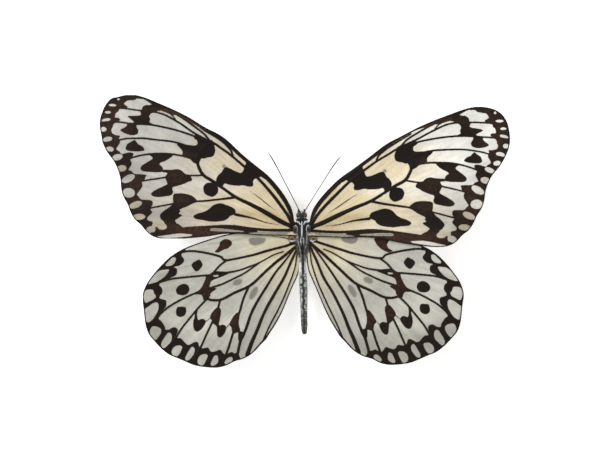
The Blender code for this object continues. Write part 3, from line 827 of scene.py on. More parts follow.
FOREWING_MARKS = WingMarks(
    vein_ink={
        "subcosta": (0.35, 0.3, 0.2), "radius": (0.4, 0.42, 0.32, 0.25, 0.22, 0.2, 0.18, 0.18),
        "radius_1": (0.2, 0.18), "radius_2": (0.2, 0.2),
        "media_1": (0.2, 0.2, 0.18), "media_2": (0.25, 0.18, 0.15), "media_3": (0.22, 0.2, 0.15),
        "cubitus": (0.45, 0.65, 0.62, 0.5, 0.4, 0.33, 0.4, 0.4, 0.3, 0.3),
        "cubital_1": (0.17, 0.17, 0.15), "cubital_2": (0.3, 0.18, 0.15),
        "anal": (0.35, 0.35, 0.3, 0.3, 0.25, 0.2),
    },
    margin_ink=0.42,
    dark=(
        ((12.6, 15.6), (15, 14.4), (15.1, 12.6), (16.6, 12.4), (18.2, 12.8), (20, 12.6),
         (22.5, 12.7), (24.3, 13), (25, 12), (26.6, 12.9), (27, 14.3), (26.4, 15.6), (25.4, 16.5),
         (24.4, 18.1), (22.6, 17.7), (21, 17), (19.3, 16.6), (18.6, 17.3), (18.2, 18.6),
         (17.8, 19.4), (17.6, 20.8), (14.6, 19.4), (12, 16.8)),
        ((27.9, 23.2), (28.3, 21.8), (29.2, 21.3), (30.2, 21.2), (31.2, 20.8), (32.1, 20.8),
         (32.6, 20), (32.9, 18.9), (34.4, 19.2), (35.8, 20.3), (38, 21), (38.1, 22.2),
         (38.7, 23.1), (39.9, 24.4), (37, 24.5), (34.4, 24.5), (33.7, 25.3), (34, 26.2),
         (35, 26.9), (34.4, 27.9), (32, 27.1), (30.3, 26.4), (29, 26.1), (28.4, 24.8)),
        ((26.3, 11.4), (27, 12.6), (28.5, 13.1), (30, 12.9), (30.9, 11.8), (30.8, 10.6),
         (30.2, 9.5), (28.9, 8.9), (27.9, 8.7), (26.9, 9.3), (26.3, 10.3)),
        ((20.2, 4.6), (21.2, 5.4), (24.5, 6.4), (26.2, 6.2), (27.4, 5.6), (28.2, 4.7),
         (29.2, 3.9), (30.4, 3.3), (31.9, 2.8), (33.2, 1.9), (32.4, 1.1), (30, 0.9), (27.5, 0.6),
         (25, 0.8), (23.4, 1.2), (22.2, 2), (21.8, 2.7), (20.6, 3.2), (20.1, 3.9)),
        ((32.6, 6.9), (33.9, 8.2), (35.4, 8.7), (37.6, 8.8), (39.8, 8.4), (40, 7), (39.9, 5.4),
         (41, 4.1), (42.4, 3), (43.6, 1.6), (43.3, 0.4), (42.2, -0.5), (41.2, -1.9), (39, -1.6),
         (38.4, -0.8), (39, 0), (38.5, 0.6), (36.9, 1.8), (38, 2.3), (37.5, 3), (37.8, 3.6),
         (36.6, 4.3), (35.2, 5), (33.7, 6)),
        ((34.6, 13.4), (35.4, 14.7), (36.9, 15.1), (37.8, 15.9), (39.2, 16.3), (41, 16),
         (43.9, 15.8), (44, 15.2), (42.3, 14.9), (42.9, 13.6), (42.4, 12.4), (42.1, 11.4),
         (43, 10.8), (45.9, 9.1), (46.9, 8), (46.2, 7.3), (44.5, 7.2), (42.5, 7.6), (40.8, 8),
         (40.2, 9), (40.5, 9.8), (40.4, 10.6), (39.6, 10.9), (37, 11.9), (35.8, 12.7)),
        ((41, 20.8), (41.9, 19.7), (43.2, 18.8), (44.8, 18), (45.1, 17.5), (44.2, 16.8),
         (43.9, 16.2), (44, 15.4), (45, 15), (47.5, 14.9), (49.6, 14.9), (50.6, 15.6),
         (50.2, 16.6), (47.9, 18.4), (47.1, 19.1), (47.4, 19.7), (48.3, 20.4), (46, 20.9),
         (43, 21)),
        ((49.9, 21.6), (50.7, 22.6), (52, 23.1), (52.6, 23.9), (53.1, 24.2), (54, 23.5),
         (55, 22.8), (55.5, 21.6), (55.2, 21), (53.8, 20.8), (52, 20.9), (50.6, 21.2)),
        ((52.9, 29.3), (52.8, 28.4), (52.1, 27.3), (52.3, 26.3), (53.2, 25.8), (54.6, 25.6),
         (56.4, 25.9), (57.6, 26.4), (57.2, 27), (56.3, 27.6), (55.7, 28.5), (55.4, 29.3)),
        ((44, 34.9), (45.5, 34.3), (47.5, 33.5), (48.6, 32.9), (49, 32), (48.6, 31.1),
         (48.8, 30.2), (47.8, 29.5), (51, 29.3), (54.2, 29.3), (53.5, 29.8), (54.4, 30.4),
         (55.8, 31.2), (54, 31.7), (52.2, 32), (51.5, 32.5), (51.9, 33.4), (51.4, 34.2),
         (51.2, 35.1), (50, 35.8), (48.7, 35.9), (47, 36.8), (45, 36.1)),
        ((53.8, 38.6), (53.7, 37.3), (54.6, 36.9), (56.8, 36.5), (57.4, 35.8), (57.7, 35.1),
         (56.3, 34.2), (56.6, 33.8), (58.8, 33), (58.9, 32.4), (59.6, 31.8), (59.9, 31),
         (59.8, 30.2), (58.8, 30.2), (58.2, 29.6), (60, 28.1), (60.2, 27.2), (60.6, 26.3),
         (60.2, 25.3), (59, 24.9), (57.6, 24.8), (57.9, 24), (57.4, 23), (58.3, 21.2),
         (58.1, 20.6), (57.3, 20.2), (56.7, 19.6), (55.4, 20), (54.2, 20.3), (53.1, 20.1),
         (53.4, 19.2), (54.1, 18.6), (53.5, 17.2), (53.7, 16.4), (54.2, 15.6), (54.3, 15),
         (53.2, 14.6), (52.5, 13.9), (49, 13.8), (49, 13.2), (49.3, 12.2), (50, 11.4),
         (49.8, 10.1), (51.1, 7.9), (51.4, 7.5), (50.8, 6.9), (50.1, 6.1), (49.3, 5.9),
         (47.5, 5.95), (46.4, 5.7), (46.2, 4.6), (46.8, 3.6), (46.6, 2.8), (46.1, 2.1),
         (46.7, 1.4), (47.6, 0.2), (47, -0.6), (45.8, -0.9), (45.7, -2), (46.4, -2.6), (45, -2.8),
         (46, -5.6), (50, -6), (60, 0), (64, 14), (68, 24), (66, 36), (58, 41)),
        ((1.2, 3.4), (2.9, 5.8), (5, 8.3), (9, 12.8), (11, 14.6), (12.8, 15.8), (17.6, 20.3),
         (20, 22), (22.6, 24.1), (25, 25.5), (28, 27.5), (32.5, 30.2), (35, 31.4), (40, 33),
         (41.5, 33.2), (43, 33.7), (45, 34.3), (50, 37.1), (51.5, 37.7), (53.5, 37.7), (55, 42),
         (40, 38), (25, 30), (10, 20), (-2, 8), (-1, 3)),
        ((12.5, -1.5), (18, -0.7), (24, -0.6), (33, -1.6), (36, -1.9), (38.2, -0.9), (41, -1.6),
         (41.8, -2.8), (43.4, -2.9), (44.6, -2.2), (45, -4.3), (46.3, -4.9), (45, -5.9),
         (40, -6.2), (33, -5.4), (23, -3.8), (18, -3.2), (15.5, -2.3)),
    ),
    streaks=(
        (((7, 5.1), (10, 7), (13, 9.1), (16, 11)), (0.05, 0.18, 0.17, 0.05)),
        (((40.4, 31.3), (41.6, 32.8), (43.4, 33.9), (46.5, 34.7)), (0.2, 0.24, 0.32, 0.2)),
        (((6, 0.9), (10, 1.35), (15, 2.6), (20, 3.3)), (0.08, 0.18, 0.3, 0.5)),
        (((3, -2.4), (10, -2.7), (18, -2.7)), (0.3, 0.35, 0.3)),
        (((-0.5, 1.2), (1.5, 1.4), (3.5, 4.2)), (0.5, 0.45, 0.3)),
        (((-0.5, 0), (1.5, 0.2), (3.5, 1.2)), (0.5, 0.5, 0.45)),
    ),
    pale=(
        ((17, -1.75), (24, -1.35), (27.2, -1.45), (27.3, -2.15), (24, -2.15), (17, -1.95)),
        ((33, -3.9), (35, -3.8), (37.5, -3.8), (42.5, -4.8), (44, -5.2), (41, -5.4), (35.5, -4.7),
         (33.4, -4.3)),
        ((41.2, -2), (41.6, -1.3), (42.5, -0.9), (44, -0.9), (45.3, -0.8), (45.7, -1.6),
         (45.5, -2.3), (44, -2.2), (42.5, -2.6), (41.5, -2.6)),
        ((48.9, 36.2), (50, 36.6), (51.5, 37.4), (52.8, 37.6), (53.7, 37.2), (53.4, 36.7),
         (52.5, 36.5), (50, 35.9), (49.2, 35.9)),
        ((41.7, 32.1), (42.8, 32.9), (44.4, 33.7), (46, 34.1), (46.6, 33.9), (45.4, 33.5),
         (43.6, 32.9)),
        oval(59.6, 36.7, 0.4, 0.4), oval(61, 34.1, 1.25, 0.4), oval(62.2, 31.7, 1, 0.4),
        oval(62.4, 29.2, 1.4, 0.5, -15), oval(63, 26.2, 0.95, 0.75),
        oval(61.3, 23.6, 1.5, 0.65, -12), oval(60.2, 20.8, 1.2, 0.75, 10),
        oval(57.9, 18.6, 1.65, 0.8, -22), oval(56.5, 15.4, 1.5, 1, -10),
        oval(54.2, 12.3, 2.2, 1.1, -30), oval(53.8, 7.8, 1.9, 1.5), oval(51.4, 4.2, 2.1, 1, -25),
        oval(50, 0.5, 1.9, 0.95, -5), oval(46.1, -3.3, 1.5, 1.1, -20),
    ),
    veils=(
        ((17, -1.75), (24, -1.35), (27.2, -1.45), (27.3, -2.15), (24, -2.15), (17, -1.95)),
        ((1.8, -0.9), (4, -1.1), (8, -1.5), (14, -1.6), (14.5, -2.3), (8, -2.3), (3.5, -2.1)),
        oval(24.8, 18.4, 0.6, 0.6),
    ),
    brown=(
        (32, -2.6, 16, 2.2, 1), (52, 9, 6, 8, 0.7), (37.5, 7, 3.5, 2.5, 0.6),
        (39.5, 13.8, 4, 3, 0.6), (38, 21.3, 3, 1.5, 0.6), (60, 29, 6, 9, 0.8), (56, 35, 7, 4, 0.6),
        (40, 34.2, 12, 1.2, 0.8), (46, 17, 5, 4, 0.3),
    ),
    brown_lines=((((30, 28.9), (36, 31.6), (41, 33.6), (46, 35.2)), (0.1, 0.2, 0.2, 0.1)),),
    cream=(
        (6, 6, 24, 16, 1), (30, 4, 22, 12, 0.75), (24, 20, 22, 10, 0.8), (46, 34, 8, 3, 0.3),
    ),
    tan=(
        (12, 3.5, 10, 1.8, 0.9), (24, 8, 6, 2.5, 0.45), (6, 1.5, 7, 2, 0.8),
        (56.5, 15.4, 2, 2, 0.4), (50, 0.5, 3, 2, 0.6), (51.4, 4.2, 3, 2, 0.45),
        (44, -1.7, 3, 1.2, 0.6),
    ),
    grey=(
        (50, 1, 5, 5, 0.55), (46, -3, 4, 3, 0.5), (56, 15, 3, 3, 0.35), (42, 2, 5, 3, 0.25),
    ),
)

HINDWING_MARKS = WingMarks(
    vein_ink={
        "subcosta": (0.15, -0.2, -0.3), "radius": (0.3, 0.3, 0.25, 0.25, 0.22),
        "media_1": (0.22, 0.22, 0.22), "media_2": (0.22, 0.22), "media_3": (0.22, 0.22),
        "cubitus": (0.35, 0.35, 0.33, 0.32, 0.3, 0.28), "cubital_1": (0.24, 0.22),
        "cubital_2": (0.28, 0.27, 0.27), "cell_fold": (0.1, 0.14, 0.2, 0.28),
        "cell_fork": (0.14, 0.18, 0.22, 0.26),
        "anal_1": (0.12, 0.2, 0.3, 0.35, 0.35, 0.35), "anal_2": (0.3, 0.3, 0.33, 0.35, 0.45, 0.6),
        "anal_3": (0.12, 0.15, 0.15),
    },
    margin_ink=0.46,
    dark=(
        ((30.5, -7), (31.6, -5.6), (32.5, -5.9), (33.5, -6.4), (34, -7.2), (33.5, -8.2),
         (32.6, -9.1), (31.8, -8.9), (31, -8.1)),
        ((34.6, -14.6), (35.2, -13.5), (36.6, -13.1), (38, -13.7), (38.8, -15), (38.3, -16.2),
         (37, -16.6), (35.6, -16.4), (34.8, -15.6)),
        ((35.6, -21), (36, -20.4), (38, -20.4), (38.5, -21), (38.7, -22.2), (38.4, -23.1),
         (37.5, -23.5), (36.3, -23.2), (35.6, -22.3)),
        ((22, -9.5), (26.5, -9.2), (28, -10), (29.2, -10.6), (29.6, -12), (31.3, -15),
         (34, -16.4), (31.5, -16.4), (30.4, -16.9), (30, -18.2), (28.8, -17.9), (28, -17),
         (28, -16.4), (27.3, -15.6), (26, -14.7), (27.3, -14.4), (28.2, -14.2), (28, -13),
         (27.3, -12), (25, -11.1), (22, -9.9)),
        ((16.6, -28.6), (18, -28.3), (18.7, -28), (18.9, -29.5), (18.8, -31), (18.3, -31.9),
         (17.6, -30.9), (17, -29.8)),
        ((19, -22.3), (20.2, -23.2), (21.6, -25.6), (21.5, -26.4), (21, -27), (20.9, -28),
         (20.3, -28.9), (19.6, -28.6), (18.6, -28.3), (18.4, -27.5), (18.7, -26.5), (18.8, -25),
         (18.6, -23.5)),
        ((24.6, -21.3), (24.9, -20.8), (25.8, -20.7), (27, -21.9), (27.7, -23), (27.9, -24),
         (27.3, -24.6), (27.2, -25.4), (25.9, -26.5), (25.7, -27.5), (25.5, -29.6), (24.9, -30.1),
         (24.2, -29.8), (23.4, -28.9), (22.8, -27.4), (23.1, -26.4), (24, -26.1), (25.1, -26.3),
         (24.9, -24.5), (24.5, -22.5)),
        ((29.3, -25.1), (29.8, -24.4), (30.6, -24.2), (31.7, -24.6), (32, -23.8), (32.1, -22.5),
         (31.8, -20.9), (32.6, -22), (32.8, -23.5), (33.2, -25), (33.2, -26.5), (32.8, -27.8),
         (32, -28.2), (31, -27.7), (30, -26.5)),
        ((36.2, -2.7), (37.2, -3.4), (37.3, -4.2), (36.6, -5), (36.5, -5.8), (37, -6.5),
         (38, -7.2), (39.8, -7.7), (38.9, -8.2), (38.7, -9), (38.9, -10), (39.6, -10.6),
         (40.5, -10.9), (41.5, -11.5), (43, -12.2), (44, -12.9), (44.2, -13.4), (43.3, -14.5),
         (43.2, -15.8), (43.8, -16.6), (44.1, -17.5), (43.4, -17.9), (42, -18.3), (41.8, -19.2),
         (42, -20.2), (42.8, -21.2), (43.6, -22.8), (44.4, -24), (44.2, -24.4), (43.6, -24.8),
         (42.4, -26.6), (42.2, -27.6), (41, -27.6), (40, -27), (39, -26.9), (38.3, -27.4),
         (38.2, -28.2), (38.5, -28.9), (38.7, -30), (38, -30.3), (37, -30.5), (35.3, -32.3),
         (34.3, -32.4), (33.2, -31.8), (32.3, -31.5), (31.7, -31.8), (31.5, -32.7), (31, -33.3),
         (30.2, -33.6), (28.6, -33.4), (27.8, -34.6), (26.8, -34.7), (25.7, -34.4), (24.8, -34.1),
         (23.7, -35.4), (23, -35.6), (21.3, -34.9), (20.5, -35.3), (19, -35.7), (19, -40),
         (28, -43), (42, -40), (50, -32), (53, -20), (50, -9), (40, 0), (36.4, -1.4)),
    ),
    streaks=(
        (((21.3, -25.3), (22.8, -27.2)), (0.12, 0.16)),
        (((27.9, -24), (29.2, -25)), (0.16, 0.16)),
        (((-0.2, -5), (0.2, -9), (2.8, -15.4), (5.6, -22), (9.2, -28.6), (14, -34.6)),
         (0.1, 0.1, 0.12, 0.15, 0.2, 0.3)),
        (((1.2, 0), (2.8, -0.1)), (0.3, 0.3)),
    ),
    pale=(
        oval(26.2, -10.55, 0.9, 0.35),
        ((39.1, -4.8), (40, -4.6), (41, -5.5), (42.2, -6.8), (42.3, -7.3), (41, -7.3), (40, -6.9),
         (39.3, -6)),
        ((41.2, -8.6), (42, -8.5), (44, -8.8), (45.5, -10), (47, -11.8), (47.9, -12.9),
         (46.5, -12.9), (45, -12.4), (43.2, -11.3), (42, -10)),
        ((46, -15.1), (47, -14.8), (48.5, -15.2), (49, -16.5), (48.8, -18.2), (48.3, -19),
         (47, -18.5), (45.5, -17.6), (45.2, -16.8), (45.8, -16)),
        ((44.3, -19.8), (44.8, -18.9), (46, -19.2), (47.5, -20.2), (48.7, -21.3), (48.6, -23),
         (48.3, -24.5), (47.8, -25.2), (46.6, -24.8), (45.3, -23), (44.5, -21.4)),
        ((43.5, -28), (43.8, -27.2), (45, -26.6), (46.3, -26.6), (47, -27.8), (46.9, -29),
         (46, -30.2), (45.2, -30.8), (43.9, -29.2)),
        ((40.1, -29.3), (40.6, -28.6), (41.3, -28.6), (42.2, -29.8), (43.2, -31.5), (43.4, -32.6),
         (42.7, -33.4), (41.5, -33), (40.6, -31.8), (40.1, -30.6)),
        ((36.7, -33.1), (37.5, -32.6), (38.8, -32.8), (39.8, -33.8), (40, -35), (39.3, -35.9),
         (38.3, -36), (37.5, -35.2), (37, -34.1)),
        ((32.8, -33.8), (33.3, -33.1), (34, -33.4), (35.6, -36.2), (35.5, -37.3), (34.6, -37.2),
         (33.5, -36), (32.9, -34.9)),
        ((28.7, -35.7), (29.5, -35.4), (30.8, -35.7), (31.7, -36.8), (31.8, -38.2), (31, -38.9),
         (30, -38.8), (28.9, -36.7)),
        ((25.5, -36.3), (26, -35.8), (26.7, -36.2), (27.3, -37.4), (27.8, -38.6), (27.5, -39.1),
         (26.5, -38.9), (25.5, -38)),
        ((20.9, -37), (21.3, -36.5), (22, -36.5), (22.9, -37.2), (23.5, -38.2), (23.2, -38.7),
         (22, -38.4), (21.2, -37.8)),
    ),
    veils=(
        ((10.6, 1.1), (13, 1.4), (15.7, 1), (15.6, -0.5), (14.2, -1.3), (12.5, -1), (10.9, -0.3)),
        oval(19.2, -12.8, 1.6, 1, -20), oval(14.1, -16.2, 2.3, 1, -60),
    ),
    brown=(
        (25, -18, 40, 40, 0.22), (29, -13.5, 3.5, 5, 0.8), (24.5, -1.5, 4, 3.5, 1),
        (20, -25.5, 3, 4, 0.8), (26, -23, 2.5, 3.5, 0.7), (1, -8, 1.5, 7, 0.9),
    ),
    brown_lines=((((0.3, -3), (0.8, -6.5), (1.6, -10.5)), (0.15, 0.15, 0.1)),),
    cream=((4, -3, 18, 16, 1), (14, 2, 14, 4, 0.5)),
    tan=((2, 1.2, 1.6, 0.9, 1), (6, -3.5, 5, 2.5, 0.35)),
    grey=((22, -16, 18, 12, 0.9), (22, -34, 16, 8, 0.9), (44, -30, 8, 5, 0.8),
          (12, -26, 8, 14, 0.7)),
)
HINDWING_COSTAL_PATCH = {
    Side.RIGHT: ((21.3, 0.6), (21.4, -0.7), (22.2, -1.9), (23.5, -3), (25, -3.8), (26, -3.9),
                 (27, -3.4), (26, -2.9), (25.3, -2.2), (25.2, -1.2), (25.6, -0.6), (25.6, 0.3)),
    Side.LEFT: ((21.2, -0.6), (22, 0.5), (23.4, 0.8), (24.9, 0.1), (25.3, -1.2), (26, -2.2),
                (26.7, -3.1), (25.6, -3.4), (24, -2.6), (22.3, -2)),
}
# Where the left forewing lies off the right one's mirror image: x, y and the move there.
LEFT_FOREWING_MOVES = (
    (30, 12, -0.55, -0.4), (33, 22, -0.5, -0.5), (22, 15, -0.45, -0.15), (25, 3, -0.3, 0),
    (38, 2, -0.3, 0), (40, 14, -0.3, 0), (25, 27.5, -0.25, 0.45), (12, 17.5, -0.2, 0.3),
    (40, 34.3, -0.1, 0.25), (50, 38, -0.1, 0.1), (62, 35.5, -0.5, 1), (59.5, 37.8, -0.8, 0.2),
    (61, 33.5, -0.2, 1.1), (62.5, 27.5, 0, 1.2), (64, 28, 0, 1.1), (61, 21, 0.35, 0.45),
    (57, 15, 0, 0), (50, 30, 0, 0.4), (45, 24, -0.2, 0), (34, 25, -0.6, -0.3),
    (25, -3.3, -0.1, -0.25), (40, -5.7, 0, -0.25), (50, -1.5, 0, 0), (0, 0, 0, 0),
)
LEFT_HINDWING_MOVES = (
    (10, -9, 0.35, 0.3), (20, -16, 0.35, 0.25), (15, -4.4, 0.1, 0.4), (27, -12, 0.2, 0.1),
    (40, -7, 0, 0), (37, -22, 0.3, 0), (45, -28, 0.2, 0), (43, -32, 0.3, 0), (38, -34.5, 0.4, 0),
    (34, -36, 0.35, 0), (30, -37, 0.35, 0), (26, -37.5, 0.3, 0), (22, -37.5, 0.15, 0.1),
    (32, -24, 0.3, 0), (19, -28, 0.4, 0), (12, -20, 0.35, 0.1), (5, -20, 0, 0), (1, -8, 0, 0),
    (49, -18, 0.25, 0), (48, -13, 0.2, 0), (20, 2, 0, 0.4), (30, 0.4, 0, 0.3), (0, 0, 0, 0),
)
LEFT_FOREWING_COSTA = ((26, 28), (30, 30), (33, 31.8), (36, 33.2), (40, 34.9), (44, 36.5),
                       (47, 37.6), (46, 35.7), (43.5, 34.4), (40, 33), (36, 31.3), (33, 29.9),
                       (30, 28.4), (27, 26.3))


@dataclass
class WingPlan:
    """The plan of a wing, which its left and right one share."""

    kind: str
    level: float
    outline: Shape
    veins: dict[str, Shape]
    marks: WingMarks
    vein_height: tuple[float, float] = (0.26, 0.10)
    vein_spread: tuple[float, float] = (0.42, 0.2)
    vein_reach: float = 62.0

    @cached_property
    def ring(self) -> Array:
        """The wing's outline, closed."""
        ring = smooth(self.outline, 0.6, closed=True)
        return np.vstack([ring, ring[:1]])

    def run(self, name: str) -> Shape:
        """A vein's points, carried on under the body where it starts beside it."""
        points = self.veins[name]
        x, y = points[0]
        return ((0.3 * x - 0.1, 0.55 * y - 0.2), *points) if x < 2.6 else points

    @cached_property
    def lattice(self) -> tuple[Array, Array]:
        """Covers the wing with small squares whose outer corners are drawn to its edge.

        Returns:
            The corners in plan, and the squares as corner numbers.
        """
        low, high = self.ring.min(0) - LATTICE_STEP, self.ring.max(0) + LATTICE_STEP
        xs = np.arange(low[0], high[0] + LATTICE_STEP, LATTICE_STEP)
        ys = np.arange(low[1], high[1] + LATTICE_STEP, LATTICE_STEP)
        corners = np.stack(np.meshgrid(xs, ys, indexing="ij"), -1).reshape(-1, 2)
        gap, feet, _ = nearest_on(corners, self.ring)
        inward = np.where(is_in(corners, self.ring[:-1]), 1.0, -1.0)
        depth = inward * gap - FRINGE
        row, column = np.meshgrid(np.arange(len(xs) - 1), np.arange(len(ys) - 1), indexing="ij")
        first = (row * len(ys) + column).ravel()
        squares = np.stack([first, first + len(ys), first + len(ys) + 1, first + 1], -1)
        squares = squares[(depth[squares] > 0.3 * LATTICE_STEP).any(axis=1)]
        away = (corners - feet) * (inward / np.maximum(gap, 1e-6))[:, None]
        at_edge = depth < 0.3 * LATTICE_STEP
        corners[at_edge] = (feet + away * FRINGE)[at_edge]
        used = np.unique(squares)
        number = np.zeros(len(corners), int)
        number[used] = np.arange(len(used))
        return corners[used], number[squares]

    @cached_property
    def edge(self) -> Array:
        """How far each corner of the lattice is from the outline."""
        return nearest_on(self.lattice[0], self.ring)[0]

    @cached_property
    def vein_gaps(self) -> tuple[Array, Array]:
        """The distance to the nearest vein and the ridge's height at each corner."""
        plan = self.lattice[0]
        nearest = np.full(len(plan), 20.0)
        ridge = np.zeros(len(plan))
        reach = np.clip(np.hypot(plan[:, 0], plan[:, 1]) / self.vein_reach, 0, 1)
        tall = self.vein_height[0] + (self.vein_height[1] - self.vein_height[0]) * reach
        wide = self.vein_spread[0] + (self.vein_spread[1] - self.vein_spread[0]) * reach
        for name in self.veins:
            gap = nearest_on(plan, smooth(self.run(name), 0.6))[0]
            nearest = np.minimum(nearest, gap)
            ridge = np.maximum(ridge, tall * np.exp(-((gap / wide) ** 2)))
        return nearest, ridge

    @cached_property
    def ink(self) -> Array:
        """How deep each corner lies in the dark pattern, or below zero on the pale ground."""
        plan, marks = self.lattice[0], self.marks
        depth = np.minimum(marks.bleed + depth_in(plan, marks.dark), -depth_in(plan, marks.pale))
        veins = [(self.run(name), widths) for name, widths in marks.vein_ink.items()]
        for drawn in (marks.vein_bleed + depth_in_lines(plan, veins),
                      depth_in_lines(plan, marks.streaks), marks.margin_ink - self.edge):
            depth = np.maximum(depth, drawn)
        return depth

    @cached_property
    def tints(self) -> dict[str, Array]:
        """What else the finish reads at each corner, by attribute name."""
        plan, marks = self.lattice[0], self.marks
        soft = {name: swells(plan, getattr(marks, name))
                for name in ("brown", "cream", "tan", "grey")}
        lines = 1.4 * fade(depth_in_lines(plan, marks.brown_lines), -0.25, 0.2)
        return {**soft, "brown": np.maximum(soft["brown"], lines),
                "veil": depth_in(plan, marks.veils)}


@dataclass
class Wing:
    """One wing: a thin membrane with raised veins, a drawn pattern and a fringe."""

    plan: WingPlan
    side: Side
    finish: Material
    root: tuple[float, float]
    sweep: float = 0.0
    moves: Shape = ()
    # Painted shade: soft oval areas, each x, y, two radii and strength, greyed into the wing's
    # ground.
    shade: Shape = ()
    own_dark: tuple[Shape, ...] = ()
    pleat: float = 0.16

    @property
    def node(self) -> str:
        """The name of the wing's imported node."""
        return f"{self.plan.kind}_{self.side.label}"

    def drift(self, plan: Array) -> Array:
        """Moves points by the small ways in which this wing isn't its twin's mirror image.

        Args:
            plan: Points in the wing's own plan.

        Returns:
            The moved points.
        """
        if not self.moves:
            return plan
        shift = np.zeros_like(plan)
        total = np.zeros(len(plan))
        for x, y, dx, dy in self.moves:
            weight = ((plan[:, 0] - x) ** 2 + (plan[:, 1] - y) ** 2 + 4.0) ** -2
            shift += weight[:, None] * np.array([dx, dy])
            total += weight
        return plan + shift / total[:, None]

    def world(self, plan: Array, lift: Array) -> Array:
        """Places points of the wing in the frame of the whole butterfly.

        Args:
            plan: Points in the wing's own plan.
            lift: Height of each point over the wing's middle sheet.

        Returns:
            The points in millimetres.
        """
        cosine, sine = math.cos(self.sweep), math.sin(self.sweep)
        x = self.root[0] + self.side.value * (plan[:, 0] * cosine - plan[:, 1] * sine)
        y = self.root[1] + plan[:, 0] * sine + plan[:, 1] * cosine
        away = np.abs(x - BODY_X)
        level = (self.plan.level + RISE_AT_ROOT * away - RISE_FALLOFF * away**2
                 + REAR_DROOP * (y - BODY_Y))
        return np.stack([x, y, level + lift], -1)

    def build(self) -> None:
        """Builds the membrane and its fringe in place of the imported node."""
        plan, squares = self.plan.lattice
        edge = self.plan.edge
        nearest, ridge = self.plan.vein_gaps
        ridge = ridge * fade(edge, FRINGE, 1.2)
        valley = -self.pleat * fade(nearest, 0.2, 3.2) * fade(edge, 0.2, 5.0)
        valley += 0.10 * ripples(plan, 14, 21 + self.side.value) * fade(edge, 0.0, 4.0)
        half = SHEET / 2 * (0.5 + 0.5 * fade(edge, FRINGE, 1.0))
        moved = self.drift(plan)
        sheets = [np.clip(self.world(moved, lift), *node_box(self.node))
                  for lift in (valley + half + ridge, valley - half - 0.5 * ridge)]
        edges = {(a, b) for s in squares.tolist() for a, b in zip(s, s[1:] + s[:1])}
        rim = [(a, b) for a, b in edges if (b, a) not in edges]
        count = len(plan)
        faces = squares.tolist() + (squares[:, ::-1] + count).tolist()
        faces += [[b, a, a + count, b + count] for a, b in rim]
        if self.side is Side.LEFT:
            faces = [face[::-1] for face in faces]
        piece = make_piece(f"{self.node}_membrane", np.vstack(sheets), faces, self.finish)
        tints = self.plan.tints
        values = {**tints, "ink": np.maximum(self.plan.ink, depth_in(plan, self.own_dark)),
                  # Painted shade joins the wing's own grey tint in the grey attribute.
                  "grey": np.clip(tints["grey"] + swells(plan, self.shade), 0, 1),
                  "edge": edge, "vein": ridge / self.plan.vein_height[0]}
        mark(piece, **{name: np.tile(rows, 2) for name, rows in values.items()})
        self.fringe((sheets[0] + sheets[1]) / 2, np.array(rim), values)
        settle(piece, "wing", self.node)

    def fringe(self, middle: Array, rim: Array, values: dict[str, Array]) -> None:
        """Sets a row of fine hair-like scales along the wing's edge.

        Args:
            middle: The middle sheet's points.
            rim: The pairs of corners along the edge.
            values: What the finish reads at each corner.
        """
        start, end = rim.T if self.side is Side.RIGHT else rim.T[::-1]
        run = middle[end] - middle[start]
        out = np.stack([run[:, 1], -run[:, 0], np.zeros(len(run))], -1)
        out /= np.maximum(np.linalg.norm(out, axis=1), 1e-6)[:, None]
        shares = (0.15, 0.5, 0.85)
        roots = np.concatenate([middle[start] + share * run - 0.06 * out for share in shares])
        lies = np.tile(out, (3, 1))
        low, high = node_box(self.node)
        tips = roots + 0.17 * lies
        kept = np.all((tips > low) & (tips < high), axis=1)
        marks = {name: np.concatenate([value[start] * (1 - share) + value[end] * share
                                       for share in shares])[kept]
                 for name, value in values.items()}
        count = int(kept.sum())
        marks["root_map"] = np.stack([np.linspace(0.01, 0.98, count), np.full(count, 0.5),
                                      np.zeros(count)], -1)
        Strands(roots[kept], lies[kept], 0.13).grow(f"{self.node}_fringe", "wing", self.finish,
                                                    0.03, 0.35, 6, **marks)


